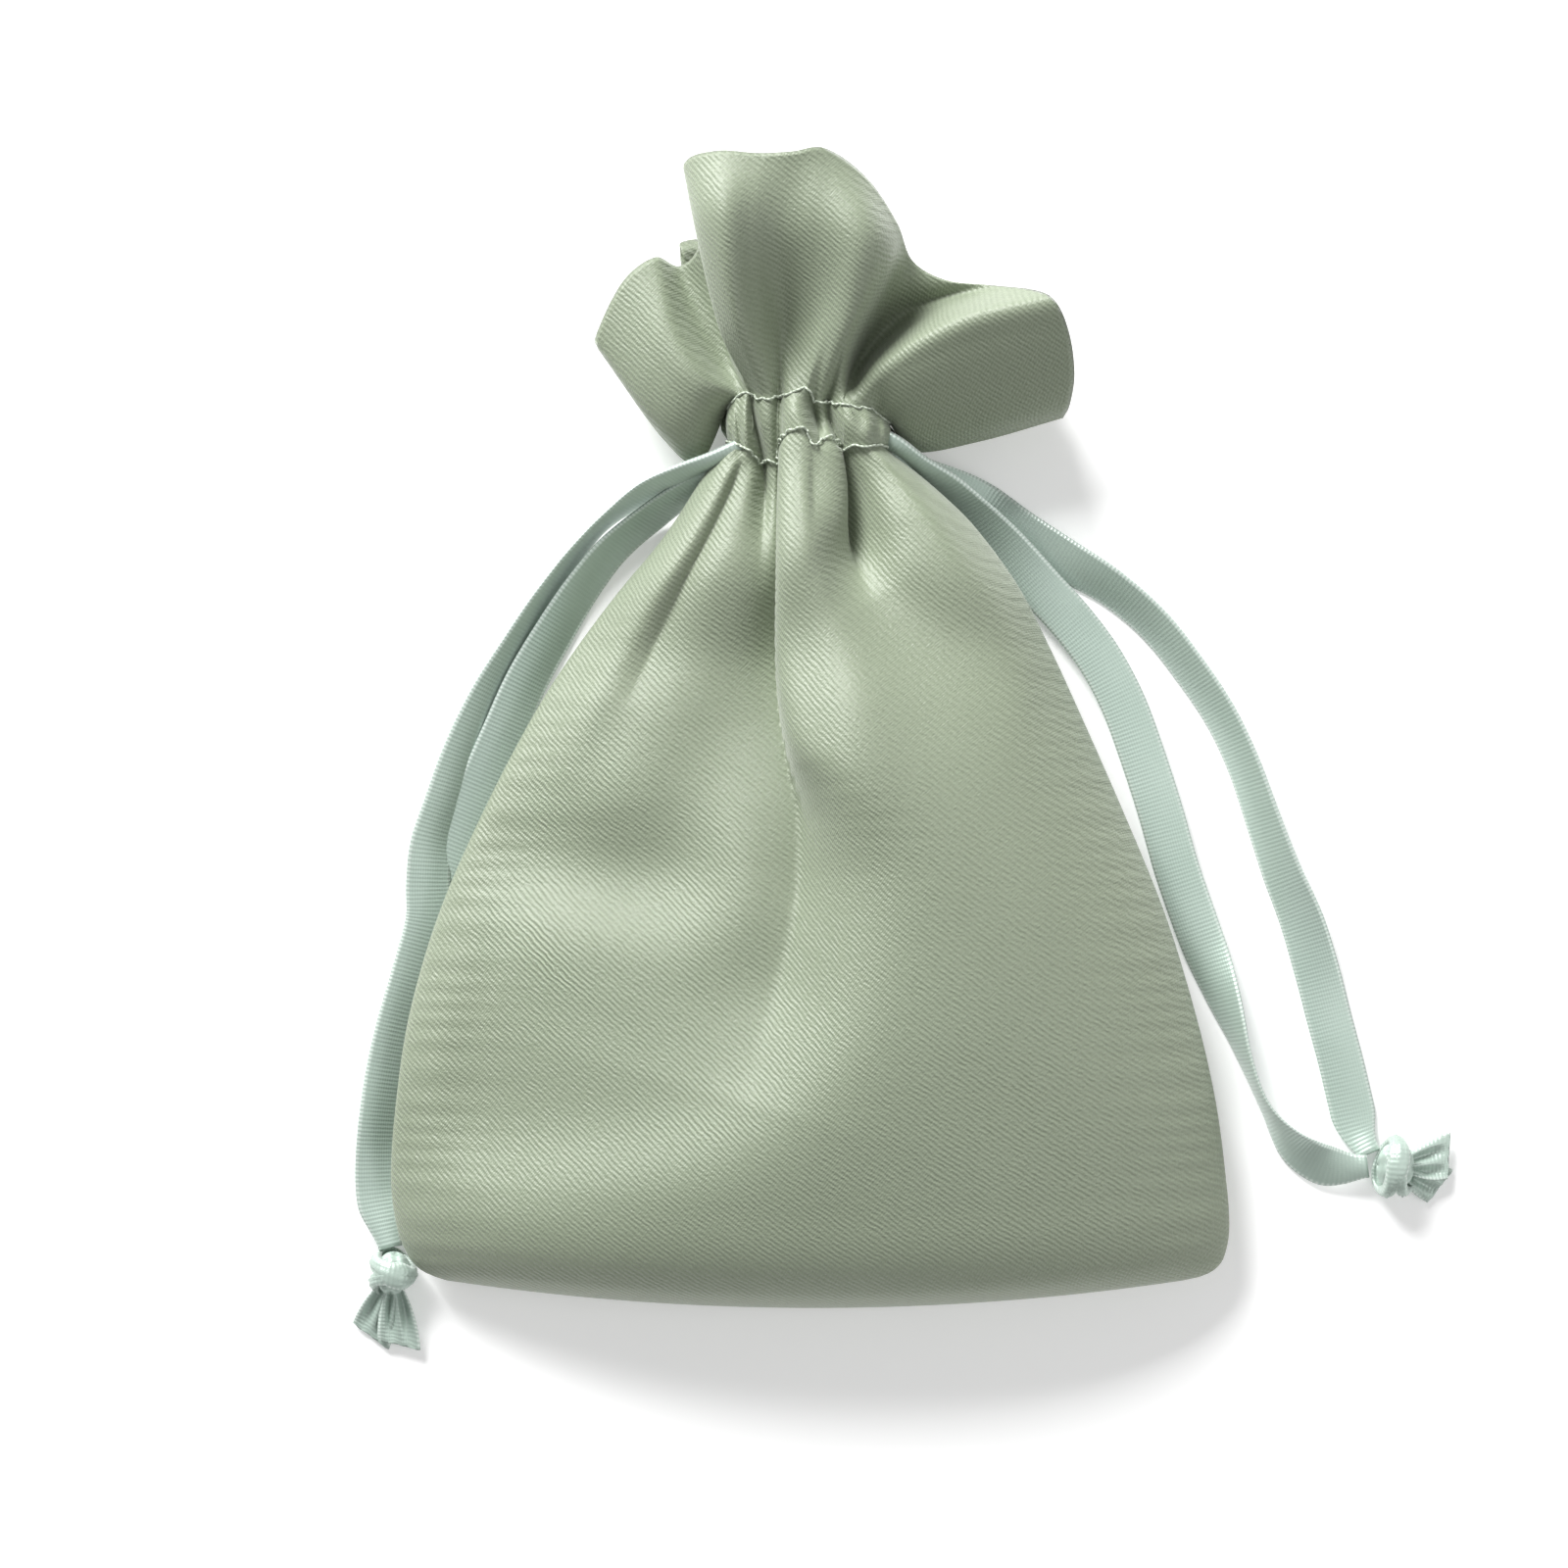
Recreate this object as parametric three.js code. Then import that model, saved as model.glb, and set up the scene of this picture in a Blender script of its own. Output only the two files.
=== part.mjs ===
// A satin drawstring gift sack, lying on its back with the neck drawn shut and both pull loops laid out beside it.
// Millimetres. +X is to the right across the sack, +Y runs from the base seam to the mouth, +Z is up from the table.
// The sack is two cloth panels sewn together at both sides and along the base. Near the mouth each panel is
// folded inwards as a double heading and held by two rows of stitches, which make a channel for two ribbons.
// One ribbon leaves the channel on the left and the other on the right, and each is knotted into a pull loop.

import * as THREE from "three";

// ---------- Driving dimensions ----------

const SACK_WIDTH = 127; // flat width, side seam to side seam
const BODY_LENGTH = 128.5; // base seam to the lower row of stitches, with the neck drawn shut
const CHANNEL_LENGTH = 9.2; // lower row of stitches to the upper row
const HEADING_LENGTH = 35.5; // upper row of stitches to the mouth edge of the longest lobe
const BELLY_HEIGHT = 34; // table to the crown of the front panel
const NECK_WIDTH = 24; // gathered channel, side to side
const NECK_HEIGHT = 16; // gathered channel, back to front
const NECK_CENTRE_X = -0.4;
const NECK_LIFT = 1.6; // table to the underside of the gathered channel
const RIM_HEIGHT = 8; // table to the side seams at the belly
const BASE_RIM_HEIGHT = 5; // table to the base seam
const BASE_SAG = 4.2; // how far the middle of the base seam lies below its corners
const CLOTH_WALL = 0.8; // one panel
const HEADING_WALL = 1; // the doubled cloth above the channel
const SEAM_WIDTH = 5; // seam allowance, turned to the inside
const SEAM_THICKNESS = 0.9;
const JOIN_GAP = 0.35; // clearance between pieces that touch
const PLEAT_COUNT = 7; // gathers round half of the channel
const PLEAT_DEPTH = 0.35;
const RIBBON_WIDTH = 6.35;
const RIBBON_THICKNESS = 0.5;
const THREAD_RADIUS = 0.3;
const KNOT_HEIGHT = 6; // table to the top of a knot
const KNOT_ACROSS = 7; // knot, across the ribbon
const KNOT_ALONG = 8; // knot, along the ribbon
const TAIL_LENGTH = 9.5; // cut end of a ribbon, measured from its knot
const TAIL_PINCH = 0.45; // share of the ribbon's width where it leaves the knot

// ---------- Sizes that follow ----------

const HALF_WIDTH = SACK_WIDTH / 2;
const OVERALL_LENGTH = BODY_LENGTH + CHANNEL_LENGTH + HEADING_LENGTH;
const BASE_Y = -OVERALL_LENGTH / 2;
const NECK_Y = BASE_Y + BODY_LENGTH;
const UPPER_ROW_Y = NECK_Y + CHANNEL_LENGTH;
const NECK_CENTRE_Z = NECK_LIFT + NECK_HEIGHT / 2;
const CROWN_ABOVE_RIM = BELLY_HEIGHT - RIM_HEIGHT;
const SPLIT = JOIN_GAP / 2; // each panel's rim stands this far from the seam line
const CHANNEL_MARGIN = 0.4; // channel wall to each row of stitches
const RUN_SETBACK = CLOTH_WALL + JOIN_GAP; // outer wall of the channel to the first ribbon
const RUN_PITCH = RIBBON_THICKNESS + JOIN_GAP;
const LINING_SETBACK = RUN_SETBACK + 2 * RUN_PITCH;

// The laid-out body from base to neck: [height, left half width, right half width, crown above rim, rim height],
// as shares of BODY_LENGTH, HALF_WIDTH, HALF_WIDTH, CROWN_ABOVE_RIM and RIM_HEIGHT.
const BODY_STATIONS = [
  [0.033, 0.87, 0.89, 0.03, BASE_RIM_HEIGHT / RIM_HEIGHT],
  [0.055, 0.945, 0.97, 0.33, 0.7],
  [0.094, 0.992, 0.998, 0.51, 0.8],
  [0.156, 1, 0.99, 0.72, 0.9],
  [0.25, 0.987, 0.962, 0.87, 1],
  [0.35, 0.95, 0.918, 0.96, 1],
  [0.467, 0.88, 0.843, 1, 1],
  [0.584, 0.774, 0.745, 0.96, 1],
  [0.7, 0.653, 0.637, 0.84, 1],
  [0.778, 0.55, 0.56, 0.74, 1],
  [0.856, 0.434, 0.49, 0.59, 1.05],
  [0.92, 0.308, 0.4, 0.45, 1.1],
  [0.965, 0.235, 0.28, 0.35, 1.12],
];

// The mouth edge, right seam to left seam over the front, then left seam to right seam along the back:
// [across, along, up], as shares of NECK_WIDTH, HEADING_LENGTH above the upper stitches, and BELLY_HEIGHT.
const FRONT_MOUTH = [
  [1.6, -0.1, 0.42],
  [1.67, 0.08, 0.54],
  [1.63, 0.24, 0.63],
  [1.46, 0.4, 0.62],
  [1.18, 0.45, 0.5],
  [0.88, 0.5, 0.46],
  [0.67, 0.58, 0.56],
  [0.5, 0.76, 0.77],
  [0.27, 0.92, 0.92],
  [0.02, 0.99, 1],
  [-0.28, 0.96, 1.03],
  [-0.55, 0.98, 0.98],
  [-0.76, 0.94, 0.82],
  [-0.7, 0.66, 0.55],
  [-0.72, 0.46, 0.46],
  [-0.92, 0.58, 0.55],
  [-1.12, 0.45, 0.57],
  [-1.31, 0.27, 0.44],
];
const BACK_MOUTH = [
  [-1.31, 0.27, 0.3],
  [-1.13, 0.36, 0.14],
  [-0.94, 0.5, 0.1],
  [-0.8, 0.68, 0.1],
  [-0.53, 0.74, 0.07],
  [-0.15, 0.76, 0.06],
  [0.35, 0.72, 0.06],
  [0.77, 0.48, 0.08],
  [1.14, 0.33, 0.1],
  [1.45, 0.12, 0.14],
  [1.6, -0.1, 0.28],
];

// Ribbon routes, from the channel to the knot. They lie on the table, one strand over the other, beside a sack
// of the sizes in LAID_BESIDE. Beside any other sack they keep their distance from its edge and its channel.
const LAID_BESIDE = { width: 127, body: 128.5, neckWidth: 24, neckY: 41.9, channel: 9.2 };
const LEFT_OUTER_ROUTE = [
  [-14.6, 45.8, 10],
  [-17.3, 43.6, 9.4],
  [-21.9, 39.7, 6],
  [-26.5, 35.9, 3],
  [-31.6, 31.2, 2.2],
  [-36.9, 25.4, 2.1],
  [-42.1, 19.6, 2.1],
  [-45.8, 13, 2.1],
  [-49.9, 6, 2.1],
  [-53.5, -1.9, 2.1],
  [-56.3, -10, 2.1],
  [-57.8, -16.2, 2.1],
  [-57.9, -21.9, 2.1],
  [-58.4, -27.8, 2.1],
  [-60.6, -35.9, 2.1],
  [-63.2, -44.1, 2.1],
  [-65.3, -52.2, 2.1],
  [-66.3, -60.4, 2.1],
  [-66.1, -68.5, 2.2],
  [-65, -74, 3],
  [-64.1, -77.6, 3.6],
];
const LEFT_INNER_ROUTE = [
  [-14.6, 45.8, 8.8],
  [-17.1, 43.2, 8.1],
  [-21.2, 38.9, 4.7],
  [-25.4, 34.5, 1.6],
  [-29.6, 29.3, 0.8],
  [-33.6, 20.8, 0.7],
  [-37.8, 14.4, 0.7],
  [-41.3, 7.8, 0.7],
  [-44.5, 1.1, 0.7],
  [-47.6, -5.6, 0.7],
  [-50.7, -11.5, 0.7],
  [-53.8, -17.4, 0.7],
  [-56.2, -22.6, 0.7],
  [-57.4, -27.8, 0.7],
  [-59.2, -35.2, 0.7],
  [-61.8, -43.3, 0.7],
  [-63.9, -51.5, 0.7],
  [-65.2, -60.4, 0.7],
  [-65.2, -68.5, 0.9],
  [-64.6, -74, 1.6],
  [-64.1, -77.6, 2.2],
];
const RIGHT_INNER_ROUTE = [
  [13.8, 46, 10],
  [16.4, 43.4, 9.3],
  [20.8, 39, 6],
  [25.2, 34.6, 3],
  [29.6, 29.6, 2.2],
  [33.9, 24, 2.1],
  [38.4, 17.9, 2.1],
  [42.4, 11.9, 2.1],
  [46.4, 4.8, 2.1],
  [49.8, -2.9, 2.1],
  [52.9, -11.5, 2.1],
  [55.7, -19.6, 2.1],
  [58.5, -27.8, 2.1],
  [61.4, -35.9, 2.1],
  [64, -43.3, 2.1],
  [66.5, -50, 2.1],
  [69.5, -56.7, 2.1],
  [73.4, -62.2, 2.1],
  [77.6, -65, 2.1],
  [81.4, -65.6, 2.4],
  [84.8, -65.3, 3.4],
];
const RIGHT_OUTER_ROUTE = [
  [13.8, 46, 8.8],
  [16.6, 43.9, 8.1],
  [21.7, 40.1, 4.6],
  [26.8, 36.3, 1.6],
  [32.6, 31.8, 0.8],
  [39, 27.1, 0.7],
  [45.6, 23, 0.7],
  [52, 17.3, 0.7],
  [57.5, 10.4, 0.7],
  [62.2, 3.3, 0.7],
  [65.7, -4.1, 0.7],
  [68.6, -12.2, 0.7],
  [71.6, -20.4, 0.7],
  [75, -27.8, 0.7],
  [77.5, -35.2, 0.7],
  [79.6, -42.6, 0.7],
  [81.2, -49.3, 0.7],
  [82.4, -55.2, 0.7],
  [83.4, -60, 0.9],
  [84.8, -63.4, 1.9],
];
const STRAND_STEPS = 26;

// Knots, and the heading of the ribbon through each, in degrees anticlockwise from +X.
const LEFT_KNOT = { side: -1, x: -63.8, y: -82.2, heading: -96 };
const RIGHT_KNOT = { side: 1, x: 89.4, y: -65.2, heading: -3 };
const TAIL_SPREAD = 17; // each tail turns this far, in degrees, to its own side of the knot
const TAIL_LIFTS = [0.5, 1.6]; // table to the middle of the lower and the upper tail's cut end
const TAIL_ROOT_LIFTS = [1.8, 3.4]; // the same, where each tail leaves the knot

// ---------- Materials ----------

const satin = new THREE.MeshStandardMaterial({ color: 0x97a386, roughness: 0.5, metalness: 0 });
const satinInside = new THREE.MeshStandardMaterial({ color: 0x8c987c, roughness: 0.65, metalness: 0 });
const thread = new THREE.MeshStandardMaterial({ color: 0xb7c2a8, roughness: 0.6, metalness: 0 });
const ribbon = new THREE.MeshStandardMaterial({ color: 0xa9c4b4, roughness: 0.4, metalness: 0 });

// ---------- Helpers ----------

const sack = new THREE.Group();

function add(name, geometry, material) {
  const mesh = new THREE.Mesh(geometry, material);
  mesh.name = name;
  sack.add(mesh);
  return mesh;
}

const clamp01 = (x) => Math.min(1, Math.max(0, x));

function smoothStep(from, to, x) {
  const t = clamp01((x - from) / (to - from));
  return t * t * (3 - 2 * t);
}

// A sheet of cloth: the middle of a box's two faces is bent to point(u, v), with u and v from 0 to 1, and the
// second face stands `wall` from the first along the sheet's normal, turned to the side that `inward` gives.
function clothSheet(across, along, wall, inward, point) {
  const step = 1e-3;
  const box = new THREE.BoxGeometry(1, 1, 1, across, along, 1);
  const places = box.attributes.position;
  for (let i = 0; i < places.count; i++) {
    const u = places.getX(i) + 0.5;
    const v = places.getY(i) + 0.5;
    const here = point(u, v);
    const alongU = point(Math.min(1, u + step), v).sub(point(Math.max(0, u - step), v));
    const alongV = point(u, Math.min(1, v + step)).sub(point(u, Math.max(0, v - step)));
    const normal = alongU.cross(alongV).normalize().multiplyScalar(inward);
    const depth = places.getZ(i) > 0 ? 0 : wall;
    here.addScaledVector(normal, depth);
    places.setXYZ(i, here.x, here.y, here.z);
  }
  if (inward > 0) flipFaces(box);
  return box;
}

// A sheet of cloth between two given faces, each a function of u and v from 0 to 1.
function betweenFaces(across, along, outer, inner, upwards) {
  const box = new THREE.BoxGeometry(1, 1, 1, across, along, 1);
  const places = box.attributes.position;
  for (let i = 0; i < places.count; i++) {
    const face = places.getZ(i) > 0 ? outer : inner;
    const here = face(places.getX(i) + 0.5, places.getY(i) + 0.5);
    places.setXYZ(i, here.x, here.y, here.z);
  }
  if (upwards) flipFaces(box);
  return box;
}

// Turns every triangle round, for a sheet whose depth runs along its normal and not against it.
function flipFaces(geometry) {
  const index = geometry.index;
  for (let i = 0; i < index.count; i += 3) {
    const kept = index.getX(i);
    index.setX(i, index.getX(i + 1));
    index.setX(i + 1, kept);
  }
}

// A rounded flat section swept along a route: thickness is across the table and width lies along it.
function flatStrip(route, width, thickness, steps) {
  const corner = 0.3 * thickness;
  const x = thickness / 2;
  const y = width / 2;
  const section = new THREE.Shape([
    new THREE.Vector2(x, y - corner),
    new THREE.Vector2(x - corner, y),
    new THREE.Vector2(corner - x, y),
    new THREE.Vector2(-x, y - corner),
    new THREE.Vector2(-x, corner - y),
    new THREE.Vector2(corner - x, -y),
    new THREE.Vector2(x - corner, -y),
    new THREE.Vector2(x, corner - y),
  ]);
  return new THREE.ExtrudeGeometry(section, { steps, extrudePath: route, bevelEnabled: false });
}

const curveThrough = (points) => new THREE.CatmullRomCurve3(points.map((p) => new THREE.Vector3(...p)));

// ---------- Body panels ----------

const neckShare = NECK_WIDTH / SACK_WIDTH;
const neckOffset = NECK_CENTRE_X / HALF_WIDTH;
const stations = [
  ...BODY_STATIONS,
  [1, neckShare - neckOffset, neckShare + neckOffset, NECK_HEIGHT / 2 / CROWN_ABOVE_RIM, NECK_CENTRE_Z / RIM_HEIGHT],
];
const sides = curveThrough(stations.map(([height, left, right]) => [height, left, right]));
const heights = curveThrough(stations.map(([height, , , crown, rim]) => [height, crown, rim]));

// One row across the body at t, from 0 at the base to 1 at the neck.
function bodyRow(t) {
  const side = sides.getPoint(t);
  const height = heights.getPoint(t);
  return {
    left: -side.y * HALF_WIDTH,
    right: side.z * HALF_WIDTH,
    y: BASE_Y + side.x * BODY_LENGTH,
    sag: BASE_SAG * (1 - smoothStep(0, 0.5, t)),
    crown: height.y * CROWN_ABOVE_RIM + height.z * RIM_HEIGHT,
    rim: height.z * RIM_HEIGHT,
  };
}

function bodyPoint(u, t, z) {
  const row = bodyRow(t);
  const across = 2 * u - 1;
  const x = (row.left + row.right) / 2 + (across * (row.right - row.left)) / 2;
  const y = row.y - row.sag * (1 - across * across);
  return new THREE.Vector3(x, y, z(row, Math.abs(across), t));
}

// An ellipse at the neck, and squarer than that over the body.
function dome(a, t) {
  const neck = smoothStep(0.8, 1, t);
  return Math.pow(1 - Math.pow(a, 2.4 - 0.4 * neck), 0.6 - 0.1 * neck);
}

const frontHeight = (row, a, t) => row.rim + SPLIT + (row.crown - row.rim - SPLIT) * dome(a, t);

// The back is flat on the table. It turns up to the side seams, to the base seam and to the neck.
function backHeight(row, a, t) {
  const sideDrop = Math.pow(1 - Math.pow(a, 5), 0.6);
  const baseDrop = Math.pow(1 - Math.pow(1 - t, 6), 0.6);
  const flat = Math.max(0, (row.rim - SPLIT) * (1 - 1.25 * sideDrop * baseDrop));
  const neck = row.rim - SPLIT - (row.rim - SPLIT - NECK_LIFT) * dome(a, 1);
  const share = smoothStep(0.8, 1, t);
  return flat + (neck - flat) * share;
}

// The inner face of a panel is set in from its rims by the wall, and up or down by the wall everywhere else.
function panel(height, rise) {
  const outer = (u, v) => bodyPoint(u, v * bodyEnd, height);
  const inner = (u, v) => {
    const t = v * bodyEnd;
    const away = Math.min(smoothStep(0, 0.16, 1 - Math.abs(2 * u - 1)), smoothStep(0, 0.05, t));
    const place = outer(u, v);
    const centre = outer(0.5, v).x;
    place.x += (centre - place.x) * (CLOTH_WALL / Math.abs(outer(0, v).x - centre));
    place.y += CLOTH_WALL * (1 - smoothStep(0, 0.1, t));
    place.z += rise * CLOTH_WALL * away;
    return place;
  };
  return betweenFaces(PANEL_ACROSS, PANEL_ALONG, outer, inner, rise > 0);
}

const PANEL_ACROSS = 16;
const PANEL_ALONG = 18;
const bodyEnd = 1 - JOIN_GAP / BODY_LENGTH;
add("front_panel", panel(frontHeight, -1), satin);
add("back_panel", panel(backHeight, 1), satin);

// ---------- Seam allowances: the doubled edges between the two panels ----------

const SEAM_INSET = CLOTH_WALL + 3 * JOIN_GAP; // the outer cloth turns in round the seam line

function sideSeam(side) {
  return clothSheet(1, 20, SEAM_THICKNESS, -1, (u, v) => {
    const t = 0.1 + v * 0.83;
    const row = bodyRow(t);
    const edge = side < 0 ? row.left + SEAM_INSET : row.right - SEAM_INSET - SEAM_WIDTH;
    return new THREE.Vector3(edge + u * SEAM_WIDTH, row.y, row.rim + SEAM_THICKNESS / 2);
  });
}
add("left_seam_allowance", sideSeam(-1), satinInside);
add("right_seam_allowance", sideSeam(1), satinInside);

const BASE_SEAM_ENDS = SEAM_WIDTH + 5; // the base allowance stops this far from the corners
const baseSeam = clothSheet(12, 1, SEAM_THICKNESS, -1, (u, v) => {
  const row = bodyRow(0);
  const x = row.left + BASE_SEAM_ENDS + u * (row.right - row.left - 2 * BASE_SEAM_ENDS);
  const across = (2 * x - row.left - row.right) / (row.right - row.left);
  const y = row.y - row.sag * (1 - across * across) + SEAM_INSET + v * SEAM_WIDTH;
  return new THREE.Vector3(x, y, row.rim + SEAM_THICKNESS / 2 + 0.2 * v);
});
add("base_seam_allowance", baseSeam, satinInside);

// ---------- Gathered channel ----------

// A point on the gathered neck: turn is 0 at the right seam and pi at the left one over the front, and
// negative along the back. setback is measured inwards from the outer cloth.
function neckPoint(turn, y, setback, pleats = 1) {
  const gather = PLEAT_DEPTH * pleats * Math.cos(2 * PLEAT_COUNT * turn);
  const rx = NECK_WIDTH / 2 - setback + gather;
  const rz = NECK_HEIGHT / 2 - setback + gather;
  return new THREE.Vector3(NECK_CENTRE_X + rx * Math.cos(turn), y, NECK_CENTRE_Z + rz * Math.sin(turn));
}

// The channel is open at each side seam, where the ribbons come out.
const EXIT_HALF_HEIGHT = RIBBON_THICKNESS + JOIN_GAP + 0.5;
const exitTurn = Math.asin(EXIT_HALF_HEIGHT / (NECK_HEIGHT / 2 - LINING_SETBACK - CLOTH_WALL - PLEAT_DEPTH));
const channelLow = NECK_Y + JOIN_GAP / 2;
const channelHigh = UPPER_ROW_Y - JOIN_GAP / 2;

function halfRing(front, along, low, high, setback, wall, pleats) {
  return clothSheet(4 * PLEAT_COUNT, along, wall, front > 0 ? 1 : -1, (u, v) => {
    const turn = front * (exitTurn + u * (Math.PI - 2 * exitTurn));
    return neckPoint(turn, low + v * (high - low), setback, pleats);
  });
}

const runLow = (channelLow + channelHigh - RIBBON_WIDTH) / 2;
const runHigh = runLow + RIBBON_WIDTH;
for (const [name, front] of [["front", 1], ["back", -1]]) {
  add(`${name}_channel`, halfRing(front, 2, channelLow, channelHigh, 0, CLOTH_WALL, 1), satin);
  add(`${name}_channel_lining`, halfRing(front, 2, channelLow, channelHigh, LINING_SETBACK, CLOTH_WALL, 0.6), satinInside);
  add(`${name}_run_left_ribbon`, halfRing(front, 1, runLow, runHigh, RUN_SETBACK, RIBBON_THICKNESS, 1), ribbon);
  add(`${name}_run_right_ribbon`, halfRing(front, 1, runLow, runHigh, RUN_SETBACK + RUN_PITCH, RIBBON_THICKNESS, 1), ribbon);
}

// ---------- Rows of stitches round the channel ----------

class HalfNeck extends THREE.Curve {
  constructor(front, y) {
    super();
    this.front = front;
    this.y = y;
  }
  getPoint(t, target = new THREE.Vector3()) {
    const turn = this.front * (exitTurn + t * (Math.PI - 2 * exitTurn));
    return target.copy(neckPoint(turn, this.y, -(THREAD_RADIUS + JOIN_GAP)));
  }
}

function threadRow(front, y) {
  const section = new THREE.Shape();
  section.absarc(0, 0, THREAD_RADIUS, 0, 2 * Math.PI, false);
  const path = new HalfNeck(front, y);
  return new THREE.ExtrudeGeometry(section, { steps: 28, curveSegments: 3, extrudePath: path, bevelEnabled: false });
}
for (const [name, front] of [["front", 1], ["back", -1]]) {
  add(`${name}_lower_stitches`, threadRow(front, channelLow + CHANNEL_MARGIN + THREAD_RADIUS), thread);
  add(`${name}_upper_stitches`, threadRow(front, channelHigh - CHANNEL_MARGIN - THREAD_RADIUS), thread);
}

// ---------- Ruffle above the channel ----------

function mouthEdge(rows) {
  return curveThrough(
    rows.map(([across, along, up]) => [
      NECK_CENTRE_X + across * NECK_WIDTH,
      UPPER_ROW_Y + along * HEADING_LENGTH,
      up * BELLY_HEIGHT,
    ]),
  );
}

// The cloth leaves the channel along +Y and opens out to the mouth edge.
function ruffle(front, mouth) {
  const first = UPPER_ROW_Y + JOIN_GAP / 2;
  const sideTurn = Math.asin(JOIN_GAP / (NECK_HEIGHT / 2));
  return clothSheet(32, 5, HEADING_WALL, front > 0 ? 1 : -1, (u, v) => {
    const turn = front * (sideTurn + u * (Math.PI - 2 * sideTurn));
    const foot = neckPoint(turn, first, 0, 1 - v);
    const edge = mouth.getPoint(front > 0 ? u : 1 - u);
    const bend = neckPoint(turn, first + 0.16 * HEADING_LENGTH, -0.04 * HEADING_LENGTH, 0);
    return foot
      .multiplyScalar((1 - v) * (1 - v))
      .addScaledVector(bend, 2 * v * (1 - v))
      .addScaledVector(edge, v * v);
  });
}
add("front_ruffle", ruffle(1, mouthEdge(FRONT_MOUTH)), satin);
add("back_ruffle", ruffle(-1, mouthEdge(BACK_MOUTH)), satin);

// ---------- Pull loops: two strands, a knot and two cut ends on each side ----------

// Moves a chosen point with the sack: its channel, its length and the edge that widens from neck to base.
function besideSack(side, [x, y, z]) {
  const below = (LAID_BESIDE.neckY - y) / LAID_BESIDE.body;
  const widening = 1 - 0.8 * Math.pow(1 - clamp01(below / 0.85), 2.4);
  const share = widening * smoothStep(-0.02, 0.03, below);
  const out = (share * (SACK_WIDTH - LAID_BESIDE.width) + (1 - share) * (NECK_WIDTH - LAID_BESIDE.neckWidth)) / 2;
  const down = clamp01(below / 0.8) * (BODY_LENGTH - LAID_BESIDE.body);
  const up = clamp01(-below * LAID_BESIDE.body / LAID_BESIDE.channel) * (CHANNEL_LENGTH - LAID_BESIDE.channel);
  return [x + side * out, y + NECK_Y - LAID_BESIDE.neckY - down + up, z];
}

const strands = {
  left_strand_outer: [-1, LEFT_OUTER_ROUTE],
  left_strand_inner: [-1, LEFT_INNER_ROUTE],
  right_strand_inner: [1, RIGHT_INNER_ROUTE],
  right_strand_outer: [1, RIGHT_OUTER_ROUTE],
};
for (const [name, [side, route]] of Object.entries(strands)) {
  const path = curveThrough(route.map((point) => besideSack(side, point)));
  add(name, flatStrip(path, RIBBON_WIDTH, RIBBON_THICKNESS, STRAND_STEPS), ribbon);
}

function knot(name, place) {
  const shape = new THREE.SphereGeometry(1, 12, 8);
  shape.scale(KNOT_ALONG / 2, KNOT_ACROSS / 2, KNOT_HEIGHT / 2);
  const mesh = add(name, shape, ribbon);
  mesh.position.set(...besideSack(place.side, [place.x, place.y, KNOT_HEIGHT / 2]));
  mesh.rotation.z = THREE.MathUtils.degToRad(place.heading);
}

// A cut end fans out from the knot to the ribbon's full width.
function tail(name, place, side) {
  const lower = side < 0 ? 0 : 1;
  const first = KNOT_ALONG / 2 + JOIN_GAP;
  const turn = THREE.MathUtils.degToRad(place.heading + side * TAIL_SPREAD);
  const shape = clothSheet(3, 5, RIBBON_THICKNESS, -1, (u, v) => {
    const width = RIBBON_WIDTH * (TAIL_PINCH + (1 - TAIL_PINCH) * smoothStep(0, 0.7, v));
    const reach = first + v * (TAIL_LENGTH - JOIN_GAP);
    const lift = TAIL_ROOT_LIFTS[lower] + (TAIL_LIFTS[lower] - TAIL_ROOT_LIFTS[lower]) * smoothStep(0, 1, v);
    return new THREE.Vector3(reach, (0.5 - u) * width, lift + RIBBON_THICKNESS / 2);
  });
  const mesh = add(name, shape, ribbon);
  mesh.position.set(...besideSack(place.side, [place.x, place.y, 0]));
  mesh.rotation.z = turn;
}

for (const [name, place] of [["left", LEFT_KNOT], ["right", RIGHT_KNOT]]) {
  knot(`${name}_knot`, place);
  tail(`${name}_tail_lower`, place, -1);
  tail(`${name}_tail_upper`, place, 1);
}

// ---------- Frame: the origin is under the middle of the sack, on the table ----------

const LOOSE = /strand|knot|tail/;
const extent = new THREE.Box3();
for (const mesh of sack.children) {
  if (!LOOSE.test(mesh.name)) extent.expandByObject(mesh, true);
}
const middle = extent.getCenter(new THREE.Vector3());
sack.position.set(-middle.x, -middle.y, -extent.min.z);

export default sack;
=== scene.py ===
"""Looks of a satin drawstring gift sack that lies on its back with its neck drawn shut.

Lengths in the tables are in millimetres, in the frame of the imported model: +X across the sack, +Y from the
base seam to the mouth and +Z up from the table. Meshes are made in metres.
"""

import logging
import math
from dataclasses import dataclass, field
from enum import Enum
from typing import Sequence

import bmesh
import bpy
import numpy as np
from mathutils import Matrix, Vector
from numpy.typing import NDArray


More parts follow.
